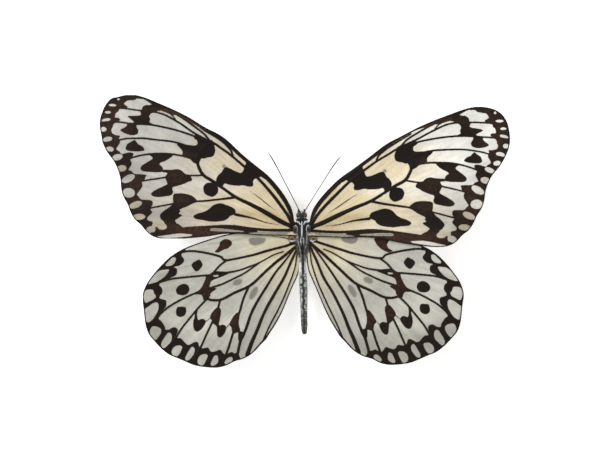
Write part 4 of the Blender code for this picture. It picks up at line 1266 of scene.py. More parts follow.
@dataclass(frozen=True)
class WingFinish:
    """The scaled surface of a wing: a pale ground, black-brown ink and grey veils."""

    name: str
    pale: Colour
    cream: Colour
    tan: Colour
    grey: Colour
    middle: float
    ink: Colour = srgb(25, 18, 14)
    brown: Colour = srgb(61, 43, 31)
    veil: Colour = srgb(131, 127, 118)
    scale: float = 0.10

    def painted_fold_shading(self, tree: Surface) -> Socket:
        """Fine streaks that run out from the body: painted light and shade of radial folds.

        Args:
            tree: The material's tree.

        Returns:
            Their strength from 0 to 1.
        """
        axes = tree.add("ShaderNodeSeparateXYZ", {0: tree.place}).outputs
        across = tree.math("ABSOLUTE", tree.math("SUBTRACT", axes["X"], BODY_X))
        turn = tree.math("ARCTAN2", tree.math("ADD", axes["Y"], 1.0), across)
        spread = tree.add("ShaderNodeCombineXYZ", {
            "X": tree.times(turn, 34.0),
            "Y": tree.times(tree.vector("LENGTH", tree.place), 0.09)}).outputs[0]
        return tree.noise(spread, 1.0, 4)

    def material(self) -> Material:
        """Makes the material.

        Returns:
            The material.
        """
        tree = Surface(self.name)
        cover = tree.scales(self.scale, tree.place)
        chance = cover["Chance"]
        ragged = tree.math("SUBTRACT", chance, 0.5)
        broad, fine = tree.noise(tree.place, 0.16, 3), tree.noise(tree.place, 1.1, 3)
        ground = tree.blend(tree.fade(tree.read("cream"), 0.1, 0.95), self.pale, self.cream)
        # The grey attribute holds the grey tint and, on some wings, painted shade.
        ground = tree.blend(tree.times(tree.read("grey"), 0.9, True), ground, self.grey)
        ground = tree.blend(tree.times(tree.read("tan"), 0.95, True), ground, self.tan)
        tone = tree.math("ADD", tree.fade(broad, 0.3, 0.7, 0.90, 1.03), tree.times(ragged, 0.12))
        # The fold streaks among these factors are painted light and shade.
        for shade in (tree.fade(fine, 0.3, 0.7, 0.95, 1.03),
                      tree.fade(tree.read("edge"), 1.5, 13.0, 0.93, self.middle),
                      tree.fade(self.painted_fold_shading(tree), 0.3, 0.7, 0.88, 1.05),
                      tree.fade(tree.read("vein"), 0.0, 1.2, 1.0, 0.72)):
            tone = tree.times(tone, shade)
        veil = tree.math("ADD", tree.read("veil"), tree.times(ragged, 0.26))
        ground = tree.blend(tree.fade(veil, -0.3, 0.35), tree.vector("SCALE", ground, tone),
                            self.veil)
        rust = tree.times(tree.read("brown"), tree.fade(fine, 0.3, 0.7, 0.4, 1.2), True)
        rust = tree.times(rust, tree.fade(tree.read("edge"), 0.2, 0.6))
        ink = tree.vector("SCALE", tree.blend(rust, self.ink, self.brown),
                          tree.fade(chance, 0.0, 1.0, 0.7, 1.35))
        depth = tree.math("ADD", tree.read("ink"), tree.times(ragged, 0.14))
        dust = tree.times(tree.fade(chance, 0.955, 0.98), tree.fade(tree.read("ink"), -0.7, -0.05))
        mask = tree.math("MAXIMUM", tree.fade(depth, -0.07, 0.08), tree.times(dust, 0.5))
        relief = tree.math("ADD", tree.times(cover["Height"], 0.012), tree.times(fine, 0.03))
        return tree.finish(tree.blend(mask, ground, ink), tree.fade(chance, 0.0, 1.0, 0.52, 0.72),
                           relief, Specular_IOR_Level=0.12)


def body_point(right: float | Array, along: float | Array, up: float | Array) -> Array:
    """Places points given to the right of, along and above the body's axis.

    Args:
        right: How far to the right, for one point or for many.
        along: How far to the front.
        up: How far up.

    Returns:
        The point, or one row a point, in millimetres.
    """
    cosine, sine = math.cos(BODY_YAW), math.sin(BODY_YAW)
    return np.stack(np.broadcast_arrays(BODY_X + right * cosine - along * sine,
                                        BODY_Y + right * sine + along * cosine, BODY_Z + up), -1)


@dataclass
class BodySkin:
    """Head, neck, thorax and abdomen under one skin, with their joints and markings."""

    rows: Shape = (
        (8.0, 0.22, 0.28, -0.55), (7.8, 0.62, 0.78, -0.48), (7.1, 0.98, 1.36, -0.35),
        (6.4, 1.03, 1.50, -0.30), (5.7, 0.96, 1.30, -0.25), (5.2, 0.68, 0.88, -0.18),
        (4.9, 0.62, 0.68, -0.12), (4.6, 0.98, 1.02, -0.10), (4.2, 1.34, 1.50, -0.05),
        (3.6, 1.60, 1.80, 0.0), (2.2, 1.90, 2.28, 0.05), (0.4, 2.04, 2.46, 0.05),
        (-1.6, 1.98, 2.32, 0.0), (-3.2, 1.72, 1.96, -0.10), (-4.5, 1.34, 1.56, -0.20),
        (-5.4, 0.98, 1.16, -0.25), (-6.4, 0.96, 1.20, -0.26), (-8.2, 1.02, 1.30, -0.28),
        (-11.2, 1.04, 1.38, -0.35), (-14.6, 1.16, 1.46, -0.49), (-18.0, 1.16, 1.46, -0.69),
        (-21.2, 1.07, 1.36, -0.93), (-24.4, 0.99, 1.26, -1.23), (-27.4, 0.97, 1.20, -1.56),
        (-29.8, 0.88, 1.08, -1.85), (-31.0, 0.58, 0.70, -2.03), (-31.35, 0.22, 0.28, -2.08),
    )
    sides: int = 72
    step: float = 0.11
    sutures: Shape = ((3.9, 0.10), (-1.5, 0.10), (-2.7, 0.12), (-4.2, 0.12))
    segments: Point = (-5.6, -8.9, -12.7, -16.3, -18.9, -21.5, -23.9, -26.3, -28.9)
    plate_step: float = 0.12
    white_lines: Lines = (
        (((0.0, 4.75), (-0.02, 3.4), (-0.05, 2.0), (-0.12, -0.6)), (0.10, 0.17, 0.18, 0.07)),
        (((-1.2, 4.5), (-0.55, 3.95)), (0.2, 0.16)), (((1.2, 4.5), (0.6, 3.9)), (0.2, 0.16)),
        (((0.0, 7.5), (0.0, 7.9)), (0.14, 0.12)),
    )
    grey_lines: Lines = (
        (((-1.35, 3.2), (-1.6, 1.6), (-1.66, 0.0), (-1.4, -2.2), (-0.9, -3.6)),
         (0.08, 0.26, 0.34, 0.26, 0.12)),
        (((1.35, 3.2), (1.6, 1.6), (1.68, 0.0), (1.4, -2.2), (0.9, -3.6)),
         (0.08, 0.32, 0.38, 0.28, 0.12)),
        (((-0.45, -0.4), (-0.5, -1.6), (-0.42, -2.6)), (0.08, 0.16, 0.08)),
        (((0.4, -0.4), (0.46, -1.6), (0.4, -2.6)), (0.08, 0.16, 0.08)),
    )
    side_spots: Shape = ((2.6, 112), (0.9, 126), (-0.9, 108), (-2.5, 122), (4.2, 115), (6.2, 120))

    def stations(self) -> Array:
        """Rows of along, half width, half height and rise, close together."""
        return smooth(self.rows, self.step)

    def relief(self, along: Array, turn: Array) -> Array:
        """Height of the joints, seams and plates over the smooth skin.

        Args:
            along: Places along the body.
            turn: Angles round it from the back, in radians.

        Returns:
            The heights.
        """
        height = np.zeros(len(along))
        on_thorax = fade(along, -4.6, -4.0) * (1 - fade(along, 4.3, 4.9))
        for place, depth in self.sutures:
            bow = 0.25 * np.cos(2 * turn)
            height -= depth * np.exp(-(((along - place - bow) / 0.14) ** 2)) * on_thorax
        ends = fade(along, -1.4, -0.8) * (1 - fade(along, 3.2, 3.8))
        height -= 0.07 * np.exp(-((turn / 0.09) ** 2)) * ends
        for seam in (1.15, 1.75):
            off = np.abs(turn) - seam - 0.05 * along
            height -= 0.07 * np.exp(-((off / 0.06) ** 2)) * on_thorax
        height += 0.16 * np.exp(-(((along + 2.1) / 0.5) ** 2) - (turn / 0.55) ** 2)
        for start, end in zip(self.segments, self.segments[1:] + (-31.6,)):
            share = np.clip((start - along) / (start - end), 0, 1)
            within = (along <= start) & (along > end)
            plate = self.plate_step * fade(share, 0.0, 0.12) * (0.35 + 0.65 * share)
            height += np.where(within, plate - self.plate_step * fade(share, 0.95, 1.0), 0.0)
        flank = np.exp(-(((np.abs(turn) - 1.75) / 0.10) ** 2)) * (1 - fade(along, -7.5, -6.0))
        return height - 0.06 * flank

    def markings(self, along: Array, right: Array, up: Array, turn: Array) -> dict[str, Array]:
        """Works out the pattern of the skin.

        Args:
            along: Places along the body.
            right: Places across it.
            up: Places over its axis.
            turn: Angles round it from the back, in radians.

        Returns:
            Values by attribute name.
        """
        plan = np.stack([right, along], -1)
        upper = np.cos(turn) > 0.05
        off = np.abs(turn)
        white = np.where(upper, depth_in_lines(plan, self.white_lines), -FAR)
        for place, angle in self.side_spots:
            away = np.hypot((along - place) / 0.55, (off - math.radians(angle)) / 0.2)
            white = np.maximum(white, 0.4 * (1 - away))
        cheek = 0.12 - np.abs(np.hypot((along - 6.75) / 1.1, (up + 0.15) / 1.25) - 1.0)
        white = np.maximum(white, np.where((along < 6.9) & (up < -0.3), cheek, -FAR))
        grey = 1.3 * fade(np.where(upper, depth_in_lines(plan, self.grey_lines), -FAR), -0.1, 0.08)
        behind = 1 - fade(along, -3.0, -2.0)
        hairy = behind * fade(along, -8.8, -7.9)
        grey = np.maximum(grey, 0.85 * hairy * fade(off, 0.3, 0.6))
        tan = hairy * fade(off, 0.35, 0.9) * (0.55 + 0.45 * ripples(plan, 1.6, 31))
        wander = ripples(np.stack([turn * 1.2, along], -1), 1.1, 8)
        waist = np.minimum(-8.0 - along, along + 11.8) + 0.4 * wander
        white = np.maximum(white, np.minimum(0.5 * waist, off - 0.46 + 0.1 * wander))
        rear = 1 - fade(along, -11.9, -11.3)
        patches = 0.9 + 0.7 * ripples(np.stack([turn * 1.1, along], -1), 1.5, 12)
        tail = 1 - 0.8 * (1 - fade(along, -25.6, -23.0))
        median = turn + 0.16 * np.sin(1.9 * along) + 0.05
        side = fade(np.abs(median), 0.24, 0.42) * (1 - 0.9 * fade(off, 0.95, 1.25))
        grey = np.maximum(grey, rear * side * patches * tail)
        for joint in self.segments[2:]:
            ring = np.exp(-(((along - joint - 0.16) / 0.16) ** 2)) * fade(off, 0.1, 0.3)
            grey = np.maximum(grey, 0.75 * ring)
            grey *= 1 - 0.75 * np.exp(-(((along - joint + 0.14) / 0.16) ** 2))
        grey = np.maximum(grey, 0.95 * fade(off, 2.0, 2.5) * behind)
        return {"white": white, "grey": np.clip(grey, 0, 1.3), "tan": np.clip(tan, 0, 1),
                "olive": 1 - fade(along, -24.5, -22.0)}

    def hair(self, along: Array, turn: Array) -> dict[str, Array]:
        """Works out how thick, how long and how raised the hair is.

        Args:
            along: Places along the body.
            turn: Angles round it from the back, in radians.

        Returns:
            Values by attribute name.
        """
        head = fade(along, 5.0, 5.4)
        thorax = fade(along, -4.8, -4.2) * (1 - head)
        behind = fade(along, -9.0, -7.6) * (1 - fade(along, -2.6, -1.6))
        rear = 1 - fade(along, -11.5, -8.5)
        thick = 0.9 * head + 0.9 * thorax + 0.95 * behind + 0.45 * rear
        length = 0.30 * head + 0.45 * thorax + 0.70 * behind + 0.17 * rear
        length *= 1 - 0.45 * np.exp(-((turn / 0.3) ** 2)) * thorax
        raised = 0.5 * head + 0.30 * thorax + 0.24 * behind + 0.14 * rear
        return {"thick": np.clip(thick, 0, 1), "length": length, "raised": np.clip(raised, 0, 1)}

    def build(self, finish: Material) -> Piece:
        """Builds the skin with its markings, its hair's lie and a map of its surface.

        Args:
            finish: The material of the skin.

        Returns:
            The skin.
        """
        stations = self.stations()
        count = len(stations)
        along, wide, tall, rise = np.repeat(stations, self.sides, axis=0).T
        turn = np.tile(np.linspace(-math.pi, math.pi, self.sides, endpoint=False), count)
        swell = self.relief(along, turn)
        right, up = (wide + swell) * np.sin(turn), rise + (tall + swell) * np.cos(turn)
        skin = make_piece("body_skin", body_point(right, along, up),
                          ring_faces(count, self.sides, flipped=True), finish)
        across = body_point(np.cos(turn), 0.0, -np.sin(turn))
        outward = body_point(np.sin(turn), 0.0, np.cos(turn))
        origin = body_point(0, 0, 0)
        lie = np.array([math.sin(BODY_YAW), -math.cos(BODY_YAW), 0.0]) + 0.22 * (outward - origin)
        lie += 0.2 * (across - origin) * ripples(np.stack([turn, along], -1), 1.5, 5)[:, None]
        mark(skin, **self.markings(along, right, up, turn), **self.hair(along, turn), lie=lie)
        self.unwrap(skin, count)
        settle(skin, "body", "thorax", "head", "abdomen")
        return skin

    def unwrap(self, skin: Piece, count: int) -> None:
        """Lays the skin out flat, its length along one axis and its girth along the other.

        Args:
            skin: The skin.
            count: How many rings of points it has.
        """
        layer = skin.data.uv_layers.new(name="body_map")
        for face in skin.data.polygons:
            corners = [skin.data.loops[i].vertex_index for i in face.loop_indices]
            wraps = max(c % self.sides for c in corners) - min(c % self.sides for c in corners) > 2
            for loop, corner in zip(face.loop_indices, corners):
                ring, spoke = divmod(corner, self.sides)
                if wraps and spoke == 0 and len(corners) == 4:
                    spoke = self.sides
                layer.data[loop].uv = (0.02 + 0.96 * ring / count, 0.02 + 0.96 * spoke / self.sides)


@dataclass(frozen=True)
class SkinFinish:
    """Dull black skin of the body with white and grey scaling, also on its hair."""

    name: str
    black: Colour = srgb(17, 15, 13)
    white: Colour = srgb(220, 223, 223)
    grey: Colour = srgb(184, 187, 185)
    tan: Colour = srgb(150, 128, 98)
    olive: Colour = srgb(38, 35, 25)
    rough: float = 0.62
    grain: float = 0.03

    def material(self) -> Material:
        """Makes the material.

        Returns:
            The material.
        """
        tree = Surface(self.name)
        cover = tree.scales(0.07, tree.add("ShaderNodeVectorRotate", {
            "Vector": tree.place, "Angle": math.radians(35)}, rotation_type="X_AXIS").outputs[0])
        chance = cover["Chance"]
        patchy = tree.noise(tree.place, 1.3, 3)
        base = tree.vector("SCALE", tree.blend(tree.read("olive"), self.black, self.olive),
                           tree.fade(patchy, 0.3, 0.7, 0.75, 1.3))
        mottle = tree.math("ADD", tree.times(chance, 0.3), patchy)
        greyness = tree.times(tree.read("grey"), tree.fade(mottle, 0.42, 0.68), True)
        pale = tree.blend(tree.read("tan"), self.grey, self.tan)
        ragged = tree.times(tree.math("SUBTRACT", chance, 0.5), 0.16)
        whiteness = tree.fade(tree.math("ADD", tree.read("white"), ragged), -0.08, 0.08)
        colour = tree.blend(whiteness, tree.blend(greyness, base, pale), self.white)
        rough = tree.fade(chance, 0.0, 1.0, self.rough - 0.1, self.rough + 0.1)
        return tree.finish(colour, rough, tree.times(cover["Height"], self.grain), 0.7)


@dataclass
class BodyCoat:
    """The hair and long scales over the body."""

    density: float = 38.0  # roots on a square millimetre where the coat is thickest
    width: float = 0.022

    def build(self, skin: Piece, finish: Material) -> None:
        """Grows the coat from the skin.

        Args:
            skin: The body's skin.
            finish: The coat's material.
        """
        host = new_object("body_coat_roots", skin.data.copy())
        mesh = host.data
        points, loops = len(mesh.vertices), len(mesh.loops)
        normals, lie = np.empty((2, points * 3), np.float32)
        raised = np.empty(points, np.float32)
        mesh.vertex_normals.foreach_get("vector", normals)
        mesh.attributes["lie"].data.foreach_get("vector", lie)
        mesh.attributes["raised"].data.foreach_get("value", raised)
        mesh.attributes["lie"].data.foreach_set("vector", lie + np.repeat(raised, 3) * normals)
        corners = np.empty(loops * 2, np.float32)
        mesh.uv_layers["body_map"].uv.foreach_get("vector", corners)
        rows = np.zeros((loops, 3), np.float32)
        rows[:, :2] = corners.reshape(-1, 2)
        spots = mesh.attributes.new("root_map", "FLOAT_VECTOR", "CORNER").data
        spots.foreach_set("vector", rows.ravel())
        growth = GrowthTree("coat_growth", Roots.STREWN_OVER_FACES).tree.tree
        settle(grown("body_coat", host, growth, Density=self.density / MM**2, Width=self.width,
                     Spread=0.25, Seed=4, Finish=finish), "body")


@dataclass
class Mane:
    """The long pale hair that spreads from the sides of the thorax over the wing roots."""

    count: int = 2600
    start: float = 3.6
    end: float = -6.4
    length: float = 1.15
    width: float = 0.018

    def build(self, skin: BodySkin, finish: Material) -> None:
        """Grows the hair of both sides.

        Args:
            skin: The skin that it grows from.
            finish: The hair's material.
        """
        draw = np.random.default_rng(11)
        along = draw.uniform(self.end, self.start, self.count)
        side = draw.choice([-1.0, 1.0], self.count)
        turn = side * np.radians(draw.normal(66, 12, self.count))
        stations = skin.stations()[::-1]
        wide, tall, rise = (np.interp(along, stations[:, 0], stations[:, i]) for i in (1, 2, 3))
        roots = body_point(wide * np.sin(turn), along, rise + tall * np.cos(turn))
        clump = ripples(np.stack([3 * side, along], -1), 0.9, 41)
        back = 0.45 + 0.75 * fade(-along, -3.5, 3.0) + 0.25 * clump
        lies = np.stack([side * (1.0 - 0.4 * back), -back,
                         0.05 + 0.12 * draw.uniform(-1, 1, self.count)], -1)
        pale = fade(draw.uniform(0, 1, self.count) + 0.2 * clump, 0.25, 0.8)
        reach = self.length * (0.55 + 0.5 * fade(-along, 0.5, 3.0))
        reach *= 1 - 0.35 * fade(-along, 4.5, 6.4)
        spots = np.stack([0.02 + 0.96 * (8 - along) / 39.4, 0.5 + turn / (2 * math.pi) * 0.96,
                          np.zeros(self.count)], -1)
        marks = {**BARE, "grey": 1.3 * pale, "tan": 0.8 * fade(-along, -0.5, 3.0) * pale}
        Strands(roots, lies, reach).grow("thorax_mane", "body", finish, self.width, 0.16, 7,
                                         root_map=spots, **marks)


@dataclass(frozen=True)
class HornFinish:
    """Smooth dark horn of legs, feelers and tongue, with a dusting of pale scales."""

    name: str
    dark: Colour
    light: Colour
    dusting: float
    rough: float = 0.42

    def material(self) -> Material:
        """Makes the material.

        Returns:
            The material.
        """
        tree = Surface(self.name)
        cover = tree.scales(0.05, tree.place)
        chance = cover["Chance"]
        patchy = tree.noise(tree.place, 2.2, 3)
        dusted = tree.math("ADD", tree.times(patchy, 0.5), tree.times(chance, 0.5))
        bare = 0.66 - 0.3 * self.dusting
        pale = tree.times(tree.fade(dusted, bare, bare + 0.3), tree.read("pale"))
        horn = tree.vector("SCALE", self.dark[:3], tree.fade(patchy, 0.3, 0.7, 0.7, 1.5))
        rough = tree.fade(chance, 0.0, 1.0, self.rough - 0.08, self.rough + 0.12)
        return tree.finish(tree.blend(pale, horn, self.light), rough,
                           tree.times(cover["Height"], 0.012), 0.5)


@dataclass(frozen=True)
class EyeFinish:
    """The shiny brown eye with its many facets."""

    name: str = "eye_facets"
    deep: Colour = srgb(14, 10, 8)
    glow: Colour = srgb(70, 48, 31)
    facet: float = 0.055

    def material(self) -> Material:
        """Makes the material.

        Returns:
            The material.
        """
        tree = Surface(self.name)
        cells = tree.add("ShaderNodeTexVoronoi", {
            "Vector": tree.place, "Scale": 1 / self.facet, "Randomness": 0.25}).outputs
        patchy = tree.noise(tree.place, 1.1, 3)
        colour = tree.blend(tree.fade(patchy, 0.42, 0.68), self.deep, self.glow)
        relief = tree.times(tree.math("POWER", cells["Distance"], 2.0), -0.03)
        return tree.finish(colour, tree.fade(patchy, 0.3, 0.7, 0.16, 0.3), relief,
                           Coat_Weight=0.2)


@cache
def ringed_tube() -> bpy.types.NodeTree:
    """Makes the geometry nodes that run a ringed tube along a curve.

    Returns:
        The nodes.
    """
    tree = Tree.group("ringed_tube", "Geometry", (
        ("Geometry", "Geometry", None), ("Rings", "Float", 40.0), ("Groove", "Float", 0.2),
        ("Sides", "Int", 10), ("Finish", "Material", None)), (("Geometry", "Geometry"),))
    given = tree.add("NodeGroupInput").outputs
    share = tree.add("GeometryNodeSplineParameter").outputs["Factor"]
    turn = tree.times(tree.times(share, given["Rings"]), math.pi)
    narrow = tree.math("POWER", tree.math("ABSOLUTE", tree.math("COSINE", turn)), 6.0)
    factor = tree.math("SUBTRACT", 1.0, tree.times(narrow, given["Groove"]))
    own = tree.add("GeometryNodeInputRadius").outputs[0]
    curve = tree.add("GeometryNodeSetCurveRadius", {
        "Curve": given["Geometry"], "Radius": tree.times(own, factor)}).outputs[0]
    ring = tree.add("GeometryNodeCurvePrimitiveCircle", {
        "Resolution": given["Sides"], "Radius": 1.0}).outputs[0]
    skin = tree.add("GeometryNodeCurveToMesh", {
        "Curve": curve, "Profile Curve": ring, "Fill Caps": True})
    if "Scale" in skin.inputs:
        tree.set(skin.inputs["Scale"], tree.add("GeometryNodeInputRadius").outputs[0])
    smoothed = tree.add("GeometryNodeSetShadeSmooth", {"Geometry": skin.outputs[0]}).outputs[0]
    real = tree.add("GeometryNodeRealizeInstances", {"Geometry": smoothed}).outputs[0]
    tree.add("NodeGroupOutput", {0: tree.add("GeometryNodeSetMaterial", {
        "Geometry": real, "Material": given["Finish"]}).outputs[0]})
    return tree.tree


def run_tube(name: str, points: Sequence[Point], radii: Point, step: float = 0.1,
             **sizes: object) -> Piece:
    """Runs a ringed tube through points.

    Args:
        name: The piece's name.
        points: The points of its middle line, in millimetres.
        radii: Its radii, evenly spaced from start to end.
        step: How far apart its rings of points are.
        sizes: Values of the nodes' inputs.

    Returns:
        The tube as a plain mesh object.
    """
    path = smooth(points, step)
    curve = bpy.data.curves.new(name, "CURVE")
    curve.dimensions = "3D"
    spline = curve.splines.new("POLY")
    spline.points.add(len(path) - 1)
    wide = np.interp(np.linspace(0, 1, len(path)), np.linspace(0, 1, len(radii)), radii)
    for point, place, radius in zip(spline.points, path, wide):
        point.co = (*(place * MM), 1.0)
        point.radius = radius * MM
    return grown(name, new_object(name + "_path", curve), ringed_tube(), **sizes)


@dataclass
class Feelers:
    """The two thin feelers, ringed and slightly clubbed."""

    plans: dict[Side, Shape] = field(default_factory=lambda: {
        Side.LEFT: ((-1.38, 5.20), (-1.50, 6.10), (-8.87, 20.40), (-11.70, 25.20)),
        Side.RIGHT: ((-0.42, 5.20), (-0.10, 6.10), (8.78, 20.20), (11.80, 24.00)),
    })
    heights: Point = (9.1, 9.9, 12.2, 13.3)
    radii: Point = (0.24, 0.16, 0.14, 0.14, 0.14, 0.145, 0.16, 0.21, 0.2, 0.07)

    def build(self, finish: Material) -> None:
        """Builds both feelers in place of their nodes."""
        for side, plan in self.plans.items():
            path = [(*spot, up) for spot, up in zip(plan, self.heights)]
            piece = run_tube(f"feeler_{side.label}", path, self.radii, Rings=42.0, Groove=0.22,
                             Sides=10, Finish=finish)
            share = np.linspace(0, 1, len(piece.data.vertices))
            mark(piece, pale=0.5 * (1 - fade(share, 0.05, 0.4)))
            settle(piece, "leg", f"antenna_{side.label}")


@dataclass
class Eyes:
    """The two bulging eyes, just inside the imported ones."""

    middle: Point = (0.95, 6.75, -0.15)
    radii: Point = (0.86, 1.0, 1.16)
    turns: int = 64
    rings: int = 40

    def build(self, finish: Material) -> None:
        """Builds both eyes in place of their nodes."""
        rows = np.linspace(0.02, math.pi - 0.02, self.rings)
        right = self.middle[0] - self.radii[0] * np.cos(rows)
        for side in Side:
            path = body_point(side.value * right, *self.middle[1:])
            skin = tube(path, np.sin(rows) * self.radii[1], self.turns,
                        self.radii[2] / self.radii[1])
            settle(make_piece(f"eye_dome_{side.label}", *skin, finish), "eye", f"eye_{side.label}")


@dataclass
class Mouthparts:
    """The coiled tongue between two furred palps."""

    palp_path: Shape = ((0.7, 6.9, -1.4), (0.92, 7.7, -1.85), (0.92, 8.35, -1.3),
                        (0.85, 8.6, -0.5))
    palp_radii: Point = (0.22, 0.27, 0.25, 0.10)
    palp_sides: int = 16
    palp_hairs: int = 260
    coil_middle: tuple[float, float] = (6.7, -3.55)
    coil_radius: float = 1.35
    coil_pitch: float = 0.85
    coil_turns: float = 1.2
    coil_tube: float = 0.2

    def palps(self, finish: Material) -> None:
        """Builds both palps, with their hair, in place of their nodes.

        Args:
            finish: The material of palps and hair.
        """
        draw = np.random.default_rng(5)
        hair = Strands()
        for side in Side:
            path = smooth([body_point(side.value * x, y, z) for x, y, z in self.palp_path], 0.08)
            share = np.linspace(0, 1, len(path))
            radii = np.interp(share, np.linspace(0, 1, len(self.palp_radii)), self.palp_radii)
            points, faces = tube(path, radii, self.palp_sides)
            piece = make_piece(f"palp_scales_{side.label}", points, faces, finish)
            grey = np.repeat(fade(share, 0.0, 0.6) * 0.5, self.palp_sides)
            mark(piece, **{**BARE, "grey": grey})
            settle(piece, "body", f"palp_{side.label}")
            for index in draw.integers(0, len(points), self.palp_hairs):
                ring = index // self.palp_sides
                ahead = path[min(ring + 1, len(path) - 1)] - path[max(ring - 1, 0)]
                out = points[index] - path[ring]
                lie = ahead / np.linalg.norm(ahead) + 0.35 * out / max(np.linalg.norm(out), 1e-6)
                hair.add(points[index], lie, 0.34 if ring < len(path) - 6 else 0.16)
        grey = draw.uniform(0, 0.8, len(hair.roots))
        hair.grow("palp_hair", "body", finish, 0.026, 0.12, 3, **{**BARE, "grey": grey})

    def tongue(self, finish: Material) -> None:
        """Builds the coiled tongue in place of its node."""
        along, up = self.coil_middle
        turns = np.linspace(0, 2 * math.pi * self.coil_turns, round(30 * self.coil_turns) + 1)
        radii = self.coil_radius - self.coil_pitch * turns / (2 * math.pi)
        start = body_point(0, along + self.coil_radius, up + 1.6 * self.coil_radius)
        coil = body_point(0, along + radii * np.cos(turns), up - radii * np.sin(turns))
        piece = run_tube("tongue_coil", [start, *coil],
                         (self.coil_tube, self.coil_tube, 0.75 * self.coil_tube), 0.05,
                         Rings=60.0, Groove=0.12, Sides=12, Finish=finish)
        mark(piece, pale=0.0)
        settle(piece, "tongue", "proboscis")


@dataclass
class Legs:
    """Six legs: thin tubes through their joints, with spines and claws."""

    paths: dict[str, Shape] = field(default_factory=lambda: {
        "foreleg": (
            (0.75, 3.3, -0.9), (0.95, 3.9, -2.3), (1.10, 4.6, -3.1), (1.35, 6.6, -3.7),
            (1.42, 7.2, -4.1), (1.40, 6.9, -4.6), (1.30, 5.2, -4.8), (1.25, 4.2, -4.7),
        ),
        "midleg": (
            (0.80, 0.6, -1.2), (1.30, 0.9, -3.0), (2.00, 1.4, -3.6), (6.40, 4.5, -1.75),
            (7.00, 5.0, -1.9), (7.30, 5.3, -2.5), (9.90, 7.6, -7.4), (10.25, 7.9, -8.0),
            (10.9, 8.45, -8.28), (14.2, 11.3, -8.3),
        ),
        "hindleg": (
            (0.80, -2.0, -1.0), (1.25, -2.5, -2.8), (1.90, -3.1, -3.4), (5.90, -6.4, -1.85),
            (6.40, -6.9, -2.0), (6.70, -7.2, -2.6), (9.10, -10.5, -7.4), (9.40, -10.9, -8.0),
            (9.90, -11.6, -8.28), (12.4, -15.3, -8.3),
        ),
    })
    fore_radii: Point = (0.5, 0.42, 0.26, 0.24, 0.22, 0.2, 0.19, 0.1)
    radii: Point = (0.55, 0.5, 0.36, 0.30, 0.27, 0.26, 0.2, 0.18, 0.17, 0.13)
    foot_rings: float = 5.0
    foot_length: float = 4.4
    sides: int = 14
    step: float = 0.1
    spines_every: int = 4

    def build(self, finish: Material) -> None:
        """Builds all six in place of their nodes, and their spines.

        Args:
            finish: The material of legs and spines.
        """
        spines = Strands()
        for side in Side:
            for kind, path in self.paths.items():
                walks = kind != "foreleg"
                given = [(*body_point(side.value * x, y, z), radius) for (x, y, z), radius
                         in zip(path, self.radii if walks else self.fore_radii)]
                rows = smooth(given, self.step)
                foot = np.hypot(*(rows[:, :2] - rows[-1, :2]).T) / self.foot_length
                knots = np.abs(np.cos(math.pi * self.foot_rings * foot)) ** 8
                rows[:, 3] *= 1 - np.where((foot < 1.02) & walks, 0.3 * knots, 0.0)
                rows[:, 2] = np.maximum(rows[:, 2], 0.02 + rows[:, 3])
                points, faces = tube(rows[:, :3], rows[:, 3], self.sides)
                points[:, 2] = np.maximum(points[:, 2], 0.0)
                piece = make_piece(f"{kind}_skin_{side.label}", points, faces, finish)
                turns = np.linspace(0, 2 * math.pi, self.sides, endpoint=False)
                below = fade(-np.tile(np.cos(turns), len(rows)), -0.2, 0.8)
                mark(piece, pale=np.maximum(0.35, below))
                settle(piece, "leg", f"{kind}_{side.label}")
                if walks:
                    self.arm(spines, rows, points.reshape(len(rows), self.sides, 3))
        spines.grow("leg_spines", "leg", finish, 0.035, 0.08, 2, pale=0.0)

    def arm(self, spines: Strands, rows: Array, rings: Array) -> None:
        """Adds two rows of spines along a leg's shin and foot, and two claws on its tip.

        Args:
            spines: Where they are added.
            rows: The leg's middle line and radii.
            rings: Its skin's points, ring by ring.
        """
        for i in range(round(len(rows) * 0.5), len(rows) - 4, self.spines_every):
            ahead = rows[i + 1, :3] - rows[i, :3]
            for root in rings[i, (3, 11), :]:
                out = root - rows[i, :3]
                if root[2] >= 0.12:
                    lie = ahead / np.linalg.norm(ahead) + 0.5 * out / np.linalg.norm(out)
                    spines.add(root, lie, 0.26)
        ahead = rows[-1, :3] - rows[-6, :3]
        ahead /= np.linalg.norm(ahead)
        across = np.array([-ahead[1], ahead[0], 0.0])
        for way in (-1, 1):
            spines.add(rows[-2, :3] + 0.05 * way * across + (0, 0, 0.02),
                       ahead + 0.45 * way * across - (0, 0, 0.12), 0.3)


